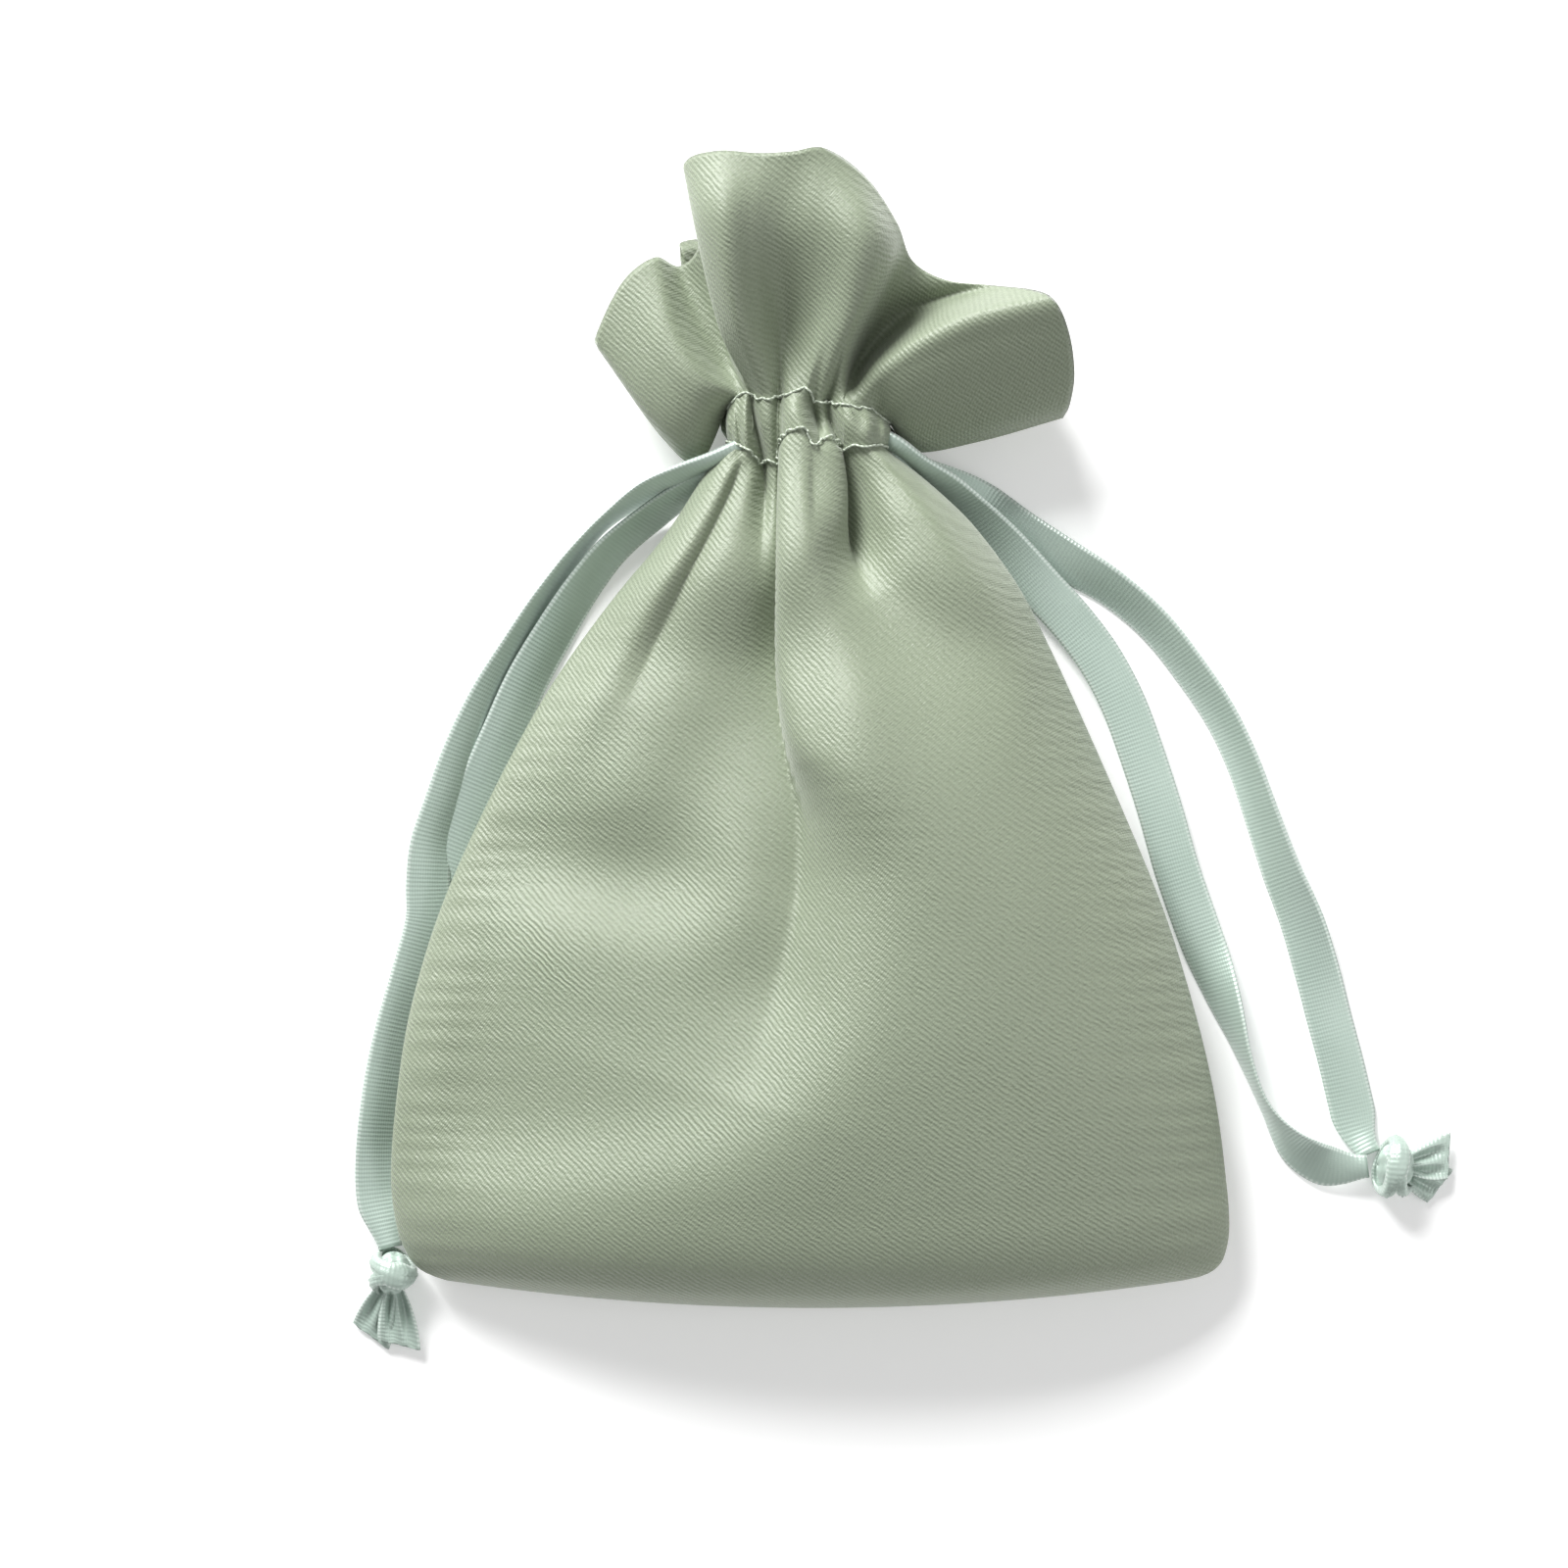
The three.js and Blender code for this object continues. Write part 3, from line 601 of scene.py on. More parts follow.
@dataclass
class Sack:
    """The two cloths of the sack, each one sheet from the base seam to the mouth and back down inside."""

    neck_y: float = 41.9
    upper_y: float = 51.1
    neck_x: float = -0.4
    half_width: float = 60.0
    flat_size: tuple[float, float] = (0.127, 0.223)  # In metres.
    neck_half_width: float = 12.0
    neck_half_height: float = 8.0
    neck_z: float = 9.6
    sag: float = 4.2
    sag_reach: float = 66.0
    drawn_reach: float = 16.0
    gather_start: float = 14.0
    body_power: float = 2.4
    neck_power: float = 2.0
    body_root: float = 0.74
    neck_root: float = 0.5
    edge_power: float = 8.0
    rim_power: float = 5.0
    base_rim_power: float = 7.0
    rim_root: float = 0.6
    back_floor: float = 0.15
    back_drop: float = 1.25
    base_ease: float = 7.0
    row_crowding: float = 0.105
    row_bias: float = 0.25
    columns: int = 221
    body_rows: int = 176
    channel_rows: int = 24
    ruffle_rows: int = 50
    inside_rows: int = 34
    soft_passes: int = 8
    channel_taper: float = 0.6
    channel_swell: float = 0.45
    exit_gap: float = 1.5
    ribbon_room: float = 1.5
    rib_lead: float = 2.4
    rib_steps: tuple[float, ...] = (-0.12, 0.0, 0.32, 0.68, 1.0)
    seam_ease: float = 0.08
    hem_gap: float = 0.45
    table_gap: float = 0.12
    blend_low: float = 6.0
    blend_high: float = 16.0

    # Height along the sack, left edge, right edge, crown and side seam height.
    outline: tuple[tuple[float, ...], ...] = (
        (-82.4, -55.3, 56.6, 5, 5), (-81.8, -57.2, 59.2, 9.4, 5.1), (-80.8, -59.2, 61.2, 13.2, 5.3),
        (-79, -60.9, 62.6, 16.8, 5.6), (-74.5, -62.7, 63.4, 20.6, 6.4), (-66.5, -63.6, 62.8, 23.2, 7.2),
        (-54.5, -62.7, 61.1, 26, 8), (-41.6, -60.7, 58.1, 28.4, 8), (-26.6, -56.3, 53.5, 29.6, 8),
        (-11.6, -49.8, 47.4, 29.2, 8), (3.4, -42, 40.8, 27.4, 8), (13.4, -35.6, 36.2, 25.2, 8),
        (23.4, -28, 31, 23, 8.4), (31.6, -20.8, 24.6, 20.2, 8.8), (37.4, -16.2, 17.8, 18.2, 9),
        (41.9, -12.4, 11.6, 17.6, 9.6),
    )

    folds: tuple[Fold, ...] = (
        # The long crease left of the middle: its right lip lies over it, and its left side slopes down to it.
        Fold(((-4.5, 54, -2.8, 0.5, 0.9), (-4.6, 47, -3.6, 0.5, 1.6), (-4.6, 41, -5.6, 0.5, 3),
              (-4.7, 32, -7.4, 0.5, 5), (-4.7, 24, -8.4, 0.55, 6.8), (-4.7, 14, -9.2, 0.6, 9),
              (-4.2, 5, -9.8, 0.7, 11.4), (-3, -3, -9.8, 1, 12.6), (-1.9, -9, -9.4, 2.8, 13.4),
              (-1.6, -16, -8.4, 5.6, 13.6), (-2.4, -25, -6.6, 8.4, 13.6), (-4.6, -35, -4.2, 10, 14),
              (-7.6, -45, -1.8, 11, 14), (-10, -54, 0, 11, 14)), sharp=True),
        # The slope goes on down to the left in a soft hollow.
        Fold(((-9, 16, 0, 6, 6), (-13, 4, -1.4, 8, 8), (-17, -6, -2.4, 9, 9), (-20, -16, -2.2, 10, 10),
              (-24, -28, -1.6, 11, 11), (-27, -40, 0, 12, 12))),
        # The crease at the left pleat's foot, and the small pleat beside it.
        Fold(((-9.1, 52.5, -0.8, 0.7, 0.6), (-8.4, 48, -3.2, 0.8, 0.6), (-7.4, 43.6, -4, 0.9, 0.8),
              (-6.9, 39, -3.6, 1, 1.2), (-7, 34, -2.2, 1.4, 1.8), (-7.3, 28, -0.8, 2, 2.6),
              (-7.6, 22, 0, 2.4, 3)), sharp=True),
        Fold(((-5.9, 53, 0.5, 0.7, 0.7), (-5.8, 44, 1, 0.8, 0.7), (-5.7, 34, 1.2, 0.9, 0.8),
              (-5.7, 26, 0.6, 1, 1), (-5.7, 20, 0, 1, 1))),
        # The middle pleat, which spreads into the broad front.
        Fold(((-1.4, 53, 0.6, 2, 2.4), (-1.8, 44, 1.4, 2, 3), (-1.6, 34, 2.6, 2.6, 4.4),
              (-0.4, 26, 3, 3.4, 5), (2.4, 18, 2.8, 5.4, 6), (4.4, 8, 2.4, 7, 9), (5, -6, 1.8, 7.6, 12),
              (5.6, -20, 0, 8, 14))),
        # The crease right of it, which the middle pleat overhangs, and the hollow that it opens into.
        Fold(((2.3, 53, -1.8, 1, 0.6), (2.6, 48, -3.2, 1.1, 0.6), (4.2, 43.6, -4.2, 1.3, 0.6),
              (4.8, 38, -5, 1.8, 0.6), (5.1, 31, -5, 2.6, 0.9), (6, 27.6, -3.2, 3.4, 1.6),
              (7.4, 24, -1.2, 4.2, 2.8), (9.4, 20.8, 0, 4.6, 4)), sharp=True),
        Fold(((5.4, 43.5, 0, 1.6, 0.8), (5.8, 38.5, -3.4, 2.8, 0.9), (6, 32, -5, 4.2, 2.2),
              (7.2, 25.4, -4.8, 5.2, 6.6), (11, 19.4, -4, 6.2, 11), (17.6, 14, -2.8, 7, 12),
              (25, 10.6, -1.4, 8, 12), (32, 8.6, 0, 8, 10))),
        # Narrow pleats that fan out to the left.
        Fold(((-11, 50, -0.8, 0.8, 0.8), (-10.6, 42, -1.4, 1.2, 0.8), (-14, 33, -2, 1.6, 1.2),
              (-19.2, 23, -2, 1.8, 1.6), (-24, 13, -1.2, 2.6, 2.2), (-28, 4, 0, 3.4, 3)), sharp=True),
        Fold(((-11.4, 44, 0.4, 1.4, 1.6), (-15.6, 35, 1.2, 1.8, 2.2), (-21.6, 25, 1.8, 2.6, 3),
              (-27.6, 15, 2.2, 3.6, 4.4), (-34, 4, 2, 4, 6), (-40, -8, 0, 4, 7))),
        # Right shoulder.
        Fold(((9.6, 46, 0.8, 1.8, 2), (14.6, 37, 1.8, 3, 3.4), (21.6, 28, 2.4, 4.4, 5), (29, 18, 2, 5.4, 5.6),
              (36, 6, 0, 6, 6))),
        # Pleats of the channel and what is pinched between them.
        Fold(((-0.6, 52, 0, 0.8, 0.8), (0.1, 49.6, -3.8, 1.1, 1), (0.9, 47, -4.2, 1.3, 1.1),
              (1.2, 44.6, -1.6, 0.8, 0.8), (1.2, 43, 0, 0.6, 0.6)), sharp=True),
        Fold(((-3.4, 51, 0, 1, 1), (-2.6, 49, 1, 1.2, 1), (-1.6, 46, 1.2, 1.2, 1), (-0.8, 43, 0, 1, 1))),
        Fold(((5.6, 51, 0, 2, 2), (5.8, 48.6, 1.4, 2.4, 2), (7, 45, 1.8, 2.8, 2), (8, 42, 0.4, 2.4, 2),
              (8.6, 40, 0, 2, 2))),
        Fold(((-10.6, 52, 0, 1.4, 1.4), (-10.4, 49, 1, 1.6, 1.4), (-10.2, 45, 1, 1.6, 1.4),
              (-10, 42, 0, 1.4, 1.4))),
        # Two soft hollows across the lower left.
        Fold(((-54, -15, 0, 7, 7), (-44, -18, -2.4, 8, 8), (-32, -20, -3.4, 8.5, 8.5),
              (-20, -21, -2.6, 8.5, 8.5), (-10, -20, 0, 8, 8))),
        Fold(((-46, -36, 0, 8, 8), (-34, -39, -1.2, 9, 9), (-20, -40, -1.8, 10, 10), (-8, -36, -1, 8, 8),
              (0, -31, 0, 8, 8))),
        # Ease along the left seam, and the ridge of the seam edges under the cloth at the base.
        Fold(((-48, -16, 0, 5, 5), (-54, -34, 1, 4, 6), (-57, -48, 1.4, 4, 7), (-56, -62, 1, 4, 7),
              (-50, -72, 0, 5, 7))),
        Fold(((2, -84.6, 0, 1, 1.2), (20, -83.2, 0.7, 1.1, 1.3), (40, -80.8, 0.8, 1.1, 1.3),
              (56, -78.6, 0.6, 1.1, 1.3), (60, -76, 0, 1, 1.2))),
    )
    shelves: tuple[Shelf, ...] = (
        Shelf(((-70, -66), (-56, -66), (-42, -64.5), (-28, -62.5), (-16, -59), (-7, -53.5), (-1.2, -46.5),
               (2.2, -37.5), (3, -26.5), (2, -14.5), (1, 0), (1, 20)), height=-6.2, width=7),
    )

    # How far the lips of the overlapped creases hang over them, to the left where above 0.
    lips: tuple[Fold, ...] = (
        Fold(((-3.9, 50, 0, 1, 0.7), (-3.9, 42, 0.9, 1.3, 0.7), (-3.9, 24, 1.4, 1.8, 0.7),
              (-3.8, 10, 1.5, 2.4, 0.8), (-3, 1, 1.3, 3, 0.9), (-1.8, -6, 0.7, 3.6, 1.2),
              (-0.8, -12, 0, 4, 2))),
        Fold(((1.6, 50, 0, 0.6, 1), (3.4, 43.6, -0.9, 0.7, 1.3), (4, 38, -1.3, 0.7, 1.6),
              (4.2, 31, -1.2, 0.8, 1.8), (5.6, 25.6, -0.5, 1.2, 2), (9, 21.4, 0, 2, 2))),
    )

    # Where the two rows of stitches run: place across, then place along the sack.
    lower_row: tuple[tuple[float, float], ...] = (
        (-13, 44.6), (-11, 43.6), (-9.3, 42.6), (-7.7, 40.6), (-6.4, 41.2), (-4.8, 40.6), (-3.9, 43.4),
        (-2.7, 45.2), (-1.4, 45.7), (-0.5, 45), (0.2, 43), (1.2, 43.8), (2.2, 44.4), (3.2, 43.4), (4.4, 42.6),
        (6.1, 43.4), (8, 43.1), (10, 43.5), (12.6, 43.2),
    )
    upper_row: tuple[tuple[float, float], ...] = (
        (-13, 49.4), (-11.5, 50.8), (-10.2, 51.7), (-8.4, 51.3), (-7.2, 50.8), (-4.6, 51.2), (-3.2, 51.3),
        (-1.7, 52), (-0.5, 52), (0.4, 50.4), (2.2, 50.5), (4.4, 49.8), (7, 49.4), (8.8, 49.4), (10.5, 48.2),
        (12.6, 47),
    )

    # Gathers of the back cloth, and small puckers of the front beside the stitches.
    back_gathers: int = 14
    back_gather_height: float = 2.6
    back_gather_rise: tuple[float, float] = (-84.0, -30.0)
    back_gather_full: float = -10.0
    back_gather_fade: float = 0.35
    shelf_end: tuple[float, float] = (10.0, 30.0)
    puckers: int = 11
    pucker_height: float = 0.35
    pucker_reach: float = 9.0
    seam_pucker: float = 0.35
    seam_pucker_reach: float = 5.0
    seam_pucker_end: tuple[float, float] = (34.0, 10.0)
    back_frills: int = 8
    back_frill_height: float = 5.4
    back_frill_lean: float = 1.6

    # Ribs of the front ruffle from the left seam to the right one: share of the way round, then three places
    # between the channel and the mouth.
    front_ribs: tuple[tuple[float, ...], ...] = (
        LEFT_SEAM_RIB,
        (0.05, -18.2, 45.3, 12.4, -24.8, 49.4, 13, -32.3, 60.6, 12.4),
        (0.1, -17.8, 49.8, 15.2, -23.6, 55.8, 15.4, -28.2, 68.4, 14),
        (0.14, -16.2, 53.8, 16, -20.8, 60.8, 16, -23.4, 72, 13.6),
        (0.172, -13.8, 56, 12, -17, 63, 11.4, -19.8, 71, 10.6),
        (0.195, -12.2, 56.6, 11.6, -14.4, 65, 12.4, -17, 73.6, 13.4),
        (0.22, -12.4, 58.6, 14.4, -15.2, 70, 17.8, -17.6, 80, 17.6),
        (0.245, -13.6, 60.4, 18.8, -17, 74, 23.6, -19, 84.6, 22),
        (0.3, -11.2, 62, 23.2, -13.2, 76, 28, -14.4, 86.2, 25.4),
        (0.365, -7.6, 61.6, 19.8, -8.8, 76.2, 26.4, -7.8, 85.8, 26.2),
        (0.415, -4.2, 60.6, 15, -4.4, 74.6, 24.2, -3, 86, 26.4),
        (0.47, -0.4, 61.6, 18, 0.6, 75.6, 25.6, 2, 86.6, 25.4),
        (0.53, 4, 61.6, 22.6, 7.6, 73.8, 27, 8.2, 82.6, 22.6),
        (0.575, 6, 60, 21.4, 11.4, 70.6, 22.6, 12.8, 76.4, 19),
        (0.605, 6.2, 57.4, 15.4, 11, 66.2, 15.6, 15.2, 71.2, 15),
        (0.63, 6.8, 56.6, 11.6, 12.6, 64.4, 11.6, 20, 68.4, 15.4),
        (0.665, 8.4, 56.6, 12, 17, 64.6, 12.4, 27, 67.4, 17),
        (0.69, 9.8, 56.4, 16.6, 20.2, 63.2, 19.6, 32.6, 66.2, 22),
        (0.725, 11.2, 55.6, 19.8, 22.4, 61.6, 24.2, 35.6, 64.4, 25.4),
        (0.785, 12.8, 53.6, 19.6, 24.6, 58, 22.6, 38, 60, 22.6),
        (0.86, 14.4, 50, 17.2, 25.6, 52.6, 18.4, 39.2, 54.2, 17.6),
        (0.93, 15.2, 46.2, 13.2, 25.8, 47.4, 13.6, 38.8, 50, 13.2),
        RIGHT_SEAM_RIB,
    )
    back_ribs: tuple[tuple[float, ...], ...] = (
        LEFT_SEAM_RIB,
        (0.08, -16.6, 44.6, 4.4, -22.6, 50.2, 4.2, -30.2, 63.4, 6.4),
        (0.2, -15.4, 51, 2.2, -19.2, 58.4, 2.6, -22.8, 69.2, 4.6),
        (0.29, -12.6, 55, 3, -15.8, 64.4, 4.4, -18, 74.8, 6.4),
        (0.38, -8.4, 57, 1.8, -10.6, 67, 1.8, -13, 76.6, 2.4),
        (0.47, -3.4, 58, 3.2, -4, 68, 4, -4.8, 77.6, 4.6),
        (0.56, 1.8, 58, 1.6, 3.4, 67.6, 1.6, 5, 76, 1.8),
        (0.64, 5.8, 56.8, 3.4, 9.4, 64.6, 4.2, 13, 70.4, 4.6),
        (0.72, 10, 54.6, 1.8, 16.6, 60.6, 2, 22.4, 66.2, 2.6),
        (0.8, 12.8, 51.6, 2.6, 21.8, 56.4, 3.4, 30.4, 62.4, 4.8),
        (0.9, 15, 46.8, 3.6, 25.4, 50.2, 3.8, 36.4, 55.4, 6),
        RIGHT_SEAM_RIB,
    )

    grids: dict[Half, Array] = field(default_factory=dict)
    row_marks: dict[str, int] = field(default_factory=dict)

    def across(self) -> Array:
        """Share of the way round half of the sack at each column, 0 at the left seam and 1 at the right."""
        return np.linspace(0.0, 1.0, self.columns)

    def body(self, half: Half) -> Array:
        """One cloth from the base seam to the lower row of stitches.

        A row crosses the sack at one place along it, and its columns close up towards the seams as a cosine
        does. The front is a dome, 1 less a power of the distance from the middle. The back is flat with rims
        that turn up. The folds are added to the height.

        Args:
            half: Which cloth.

        Returns:
            Points, rows by columns by 3.
        """
        table = np.array(self.outline)
        t = np.linspace(0.0, 1.0, self.body_rows)
        t = t - self.row_crowding * np.sin(np.pi * t) ** 2 * (t - 0.5)
        first, last = table[0, 0], table[-1, 0]
        row_y = first + (last - first) * ((1 - self.row_bias) * t + self.row_bias * t * t)
        left, right, crown, rim = hermite(row_y, table[:, 0], table[:, 1:]).T[:, :, None]
        a = -np.cos(np.pi * self.across())[None, :]
        x = (left + right) / 2 + a * (right - left) / 2
        down = self.sag * (1 - smooth_step(first, first + self.sag_reach, row_y))[:, None]
        drawn = smooth_step(last - self.drawn_reach, last, row_y)[:, None]
        y = row_y[:, None] - down * (1 - a * a)
        y = y + drawn * (self.row_at(self.lower_row, x) - last)
        at_neck = smooth_step(self.gather_start, self.neck_y, row_y)[:, None]
        power = self.body_power + (self.neck_power - self.body_power) * at_neck
        root = self.body_root + (self.neck_root - self.body_root) * at_neck
        dome = np.clip(1 - np.abs(a) ** power, 0, None) ** root
        soft = np.clip(1 - np.abs(a) ** self.edge_power, 0, 1)
        if half is Half.FRONT:
            z = rim + (crown - rim) * dome
            base = smooth_step(first, first + self.base_ease, row_y)[:, None]
            z = z + soft * base * self.lift(half, x, y, a)
            x = x - sum(lip.lift(x, y) for lip in self.lips)
        else:
            rise = (row_y - first)[:, None] / (last - first)
            side_drop = np.clip(1 - np.abs(a) ** self.rim_power, 0, 1) ** self.rim_root
            base_drop = np.clip(1 - (1 - rise) ** self.base_rim_power, 0, 1) ** self.rim_root
            flat = np.maximum(self.back_floor, rim * (1 - self.back_drop * side_drop * base_drop))
            ring = rim - (rim - (self.neck_z - self.neck_half_height)) * np.sqrt(np.clip(1 - a * a, 0, None))
            z = flat + (ring - flat) * at_neck
            z = z + soft * self.lift(half, x, y, a)
        return np.stack(np.broadcast_arrays(x, y, z), axis=-1)

    @staticmethod
    def row_at(row: tuple[tuple[float, float], ...], x: Array) -> Array:
        """Where a row of stitches runs at points across the sack."""
        table = np.array(row)
        return hermite(np.clip(x, table[0, 0], table[-1, 0]), table[:, 0], table[:, 1])

    def lift(self, half: Half, x: Array, y: Array, a: Array) -> Array:
        """Height that a cloth's folds, shelves and gathers add.

        Args:
            half: Which cloth.
            x: Across the sack.
            y: Along it.
            a: Place across from -1 at the left seam to 1 at the right, from which the gathers are counted.

        Returns:
            Heights, of x's and y's shape.
        """
        turn = np.arccos(-np.clip(a, -1, 1)) / np.pi
        if half is Half.BACK:
            wave = 0.5 + 0.5 * np.cos(2 * np.pi * self.back_gathers * turn + 0.5 * np.sin(9 * turn))
            fade = self.back_gather_fade * smooth_step(self.back_gather_full, self.neck_y, y)
            return self.back_gather_height * wave * smooth_step(*self.back_gather_rise, y) * (1 - fade)
        soft = sum(fold.lift(x, y) for fold in self.folds if not fold.sharp)
        shelved = sum(shelf.lift(x, y) for shelf in self.shelves)
        soft = soft + (1 - smooth_step(*self.shelf_end, y)) * shelved
        total = evened(soft, self.soft_passes) + sum(fold.lift(x, y) for fold in self.folds if fold.sharp)
        middle = (self.neck_y + self.upper_y) / 2
        pucker = np.cos(2 * np.pi * (self.puckers * turn + 0.6 * np.sin(5 * turn)))
        pucker = pucker * np.exp(-np.abs(y - middle) / self.pucker_reach)
        edge = (1 - np.abs(a)) * self.half_width
        seam = np.cos(1.75 * y + 2.2 * np.sin(0.31 * y)) * smooth_step(*self.seam_pucker_end, y)
        seam = seam * np.exp(-edge / self.seam_pucker_reach)
        return total + self.pucker_height * pucker + self.seam_pucker * seam

    def channel(self, half: Half, low: Array) -> Array:
        """The gathered channel between the two rows of stitches, from the body's last row upwards.

        Each column keeps its place round the neck and runs straight up. Between the rows the cloth bulges
        over the ribbons, and at both seams it parts for them. The pleats go on through it.

        Args:
            half: Which cloth.
            low: The body's last row.

        Returns:
            Points, rows by columns by 3, the first row left out.
        """
        share = np.linspace(0.0, 1.0, self.channel_rows + 1)[1:, None]
        a = -np.cos(np.pi * self.across())[None, :]
        round_x, round_z = a, np.sqrt(np.clip(1 - a * a, 0, None))
        x = low[None, :, 0] + 0 * share
        upper = self.row_at(self.upper_row, x)
        y = low[None, :, 1] + (upper - low[None, :, 1]) * share
        height = self.neck_half_height - self.channel_taper * share
        swell = self.channel_swell * np.sin(np.pi * share) ** 0.6
        parted = self.exit_gap * np.sin(np.pi * share) * np.exp(-(((1 - np.abs(a)) / 0.1) ** 2))
        soft = np.clip(1 - np.abs(a) ** self.edge_power, 0, 1)
        z = self.neck_z + half.value * (round_z * (height + swell) + parted) + soft * self.lift(half, x, y, a)
        return np.stack(np.broadcast_arrays(x + swell * round_x, y, z), axis=-1)

    def ruffle(self, half: Half, low: Array) -> Array:
        """The ruffle: smooth ribs from the channel through their three places, joined smoothly side by side.

        Args:
            half: Which cloth.
            low: The channel's last row.

        Returns:
            Points, rows by columns by 3, the first row left out.
        """
        table = np.array(self.front_ribs if half is Half.FRONT else self.back_ribs)
        places = hermite(self.across(), table[:, 0], table[:, 1:]).reshape(self.columns, 3, 3)
        start = low - np.array([0.0, self.rib_lead, 0.0])
        ribs = np.concatenate([start[:, None], low[:, None], places], axis=1)
        share = np.linspace(0.0, 1.0, self.ruffle_rows + 1)[1:]
        knots = np.array(self.rib_steps)
        flat = ribs.transpose(1, 0, 2).reshape(len(knots), -1)
        made = hermite(share, knots, flat).reshape(-1, self.columns, 3)
        across = self.across()
        seam = np.clip(np.minimum(across, 1 - across) / self.seam_ease, 0, 1) ** 2
        if half is Half.BACK:
            turns = self.back_frills * across + 0.45 * np.sin(9 * across) + 0.2 * np.sin(23 * across)
            wave = (0.5 - 0.5 * np.cos(2 * np.pi * turns)) * (0.78 + 0.22 * np.sin(14 * across + 1.0))
            lean = np.sin(2 * np.pi * turns + 0.8) * seam * smooth_step(0.1, 1.0, share)[:, None]
            made[..., 2] += self.back_frill_height * wave * seam * smooth_step(-0.1, 0.8, share)[:, None]
            made[..., 0] += self.back_frill_lean * lean
        return made

    def inside(self, outer: Array) -> Array:
        """The turned-in heading: the ruffle and the channel again, from the mouth down, set in by the normal.

        Args:
            outer: The ruffle and channel rows of the outer cloth, from the channel up.

        Returns:
            Points, rows by columns by 3, the mouth row left out.
        """
        normals = grid_normals(outer)
        rows = np.linspace(len(outer) - 1.0, 0.0, self.inside_rows)[1:]
        index = rows.astype(int)
        below = len(outer) - 1 - rows
        depth = self.hem_gap * np.minimum(1.0, 0.35 + below / 3.0)
        channel = np.clip(rows / self.channel_rows, 0, 1)
        depth = depth + self.ribbon_room * np.sin(np.pi * channel) * (rows < self.channel_rows)
        return outer[index] - normals[index] * depth[:, None, None]

    def build(self) -> list[bpy.types.Object]:
        """Makes both cloths.

        Returns:
            The front and the back cloth.
        """
        made = []
        for half in Half:
            body = self.body(half)
            channel = self.channel(half, body[-1])
            ruffle = self.ruffle(half, channel[-1])
            outer = np.concatenate([channel, ruffle])
            if half is Half.BACK:
                body, outer = body[:, ::-1], outer[:, ::-1]
            full = np.concatenate([body, outer, self.inside(outer)])
            full[..., 2] = np.maximum(full[..., 2], self.table_gap)
            self.grids[half] = full
            self.row_marks = {"neck": len(body) - 1, "upper": len(body) - 1 + self.channel_rows}
            name = "front_cloth" if half is Half.FRONT else "back_cloth"
            LOG.info("%s: area %.5f m2", name, grid_area(full) * MM * MM)
            faces = grid_faces(*full.shape[:2], around=False)
            made.append(make_mesh(name, [(full.reshape(-1, 3), faces, cloth_uv(full).reshape(-1, 2))]))
        return made

    def dress(self, cloths: list[bpy.types.Object]) -> None:
        """Gives both cloths their satin and hides the imported parts that they stand for."""
        satin = SATIN.material()
        for half, cloth in zip(Half, cloths):
            side = half.name.lower()
            dress(cloth, satin)
            follow_mouth(cloth)
            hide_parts(f"{side}_panel", f"{side}_channel", f"{side}_channel_lining", f"{side}_ruffle")


def follow_mouth(piece: bpy.types.Object) -> None:
    """Bakes a piece's placement into its mesh."""
    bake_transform(piece)


# ---------- Seams and stitches ----------


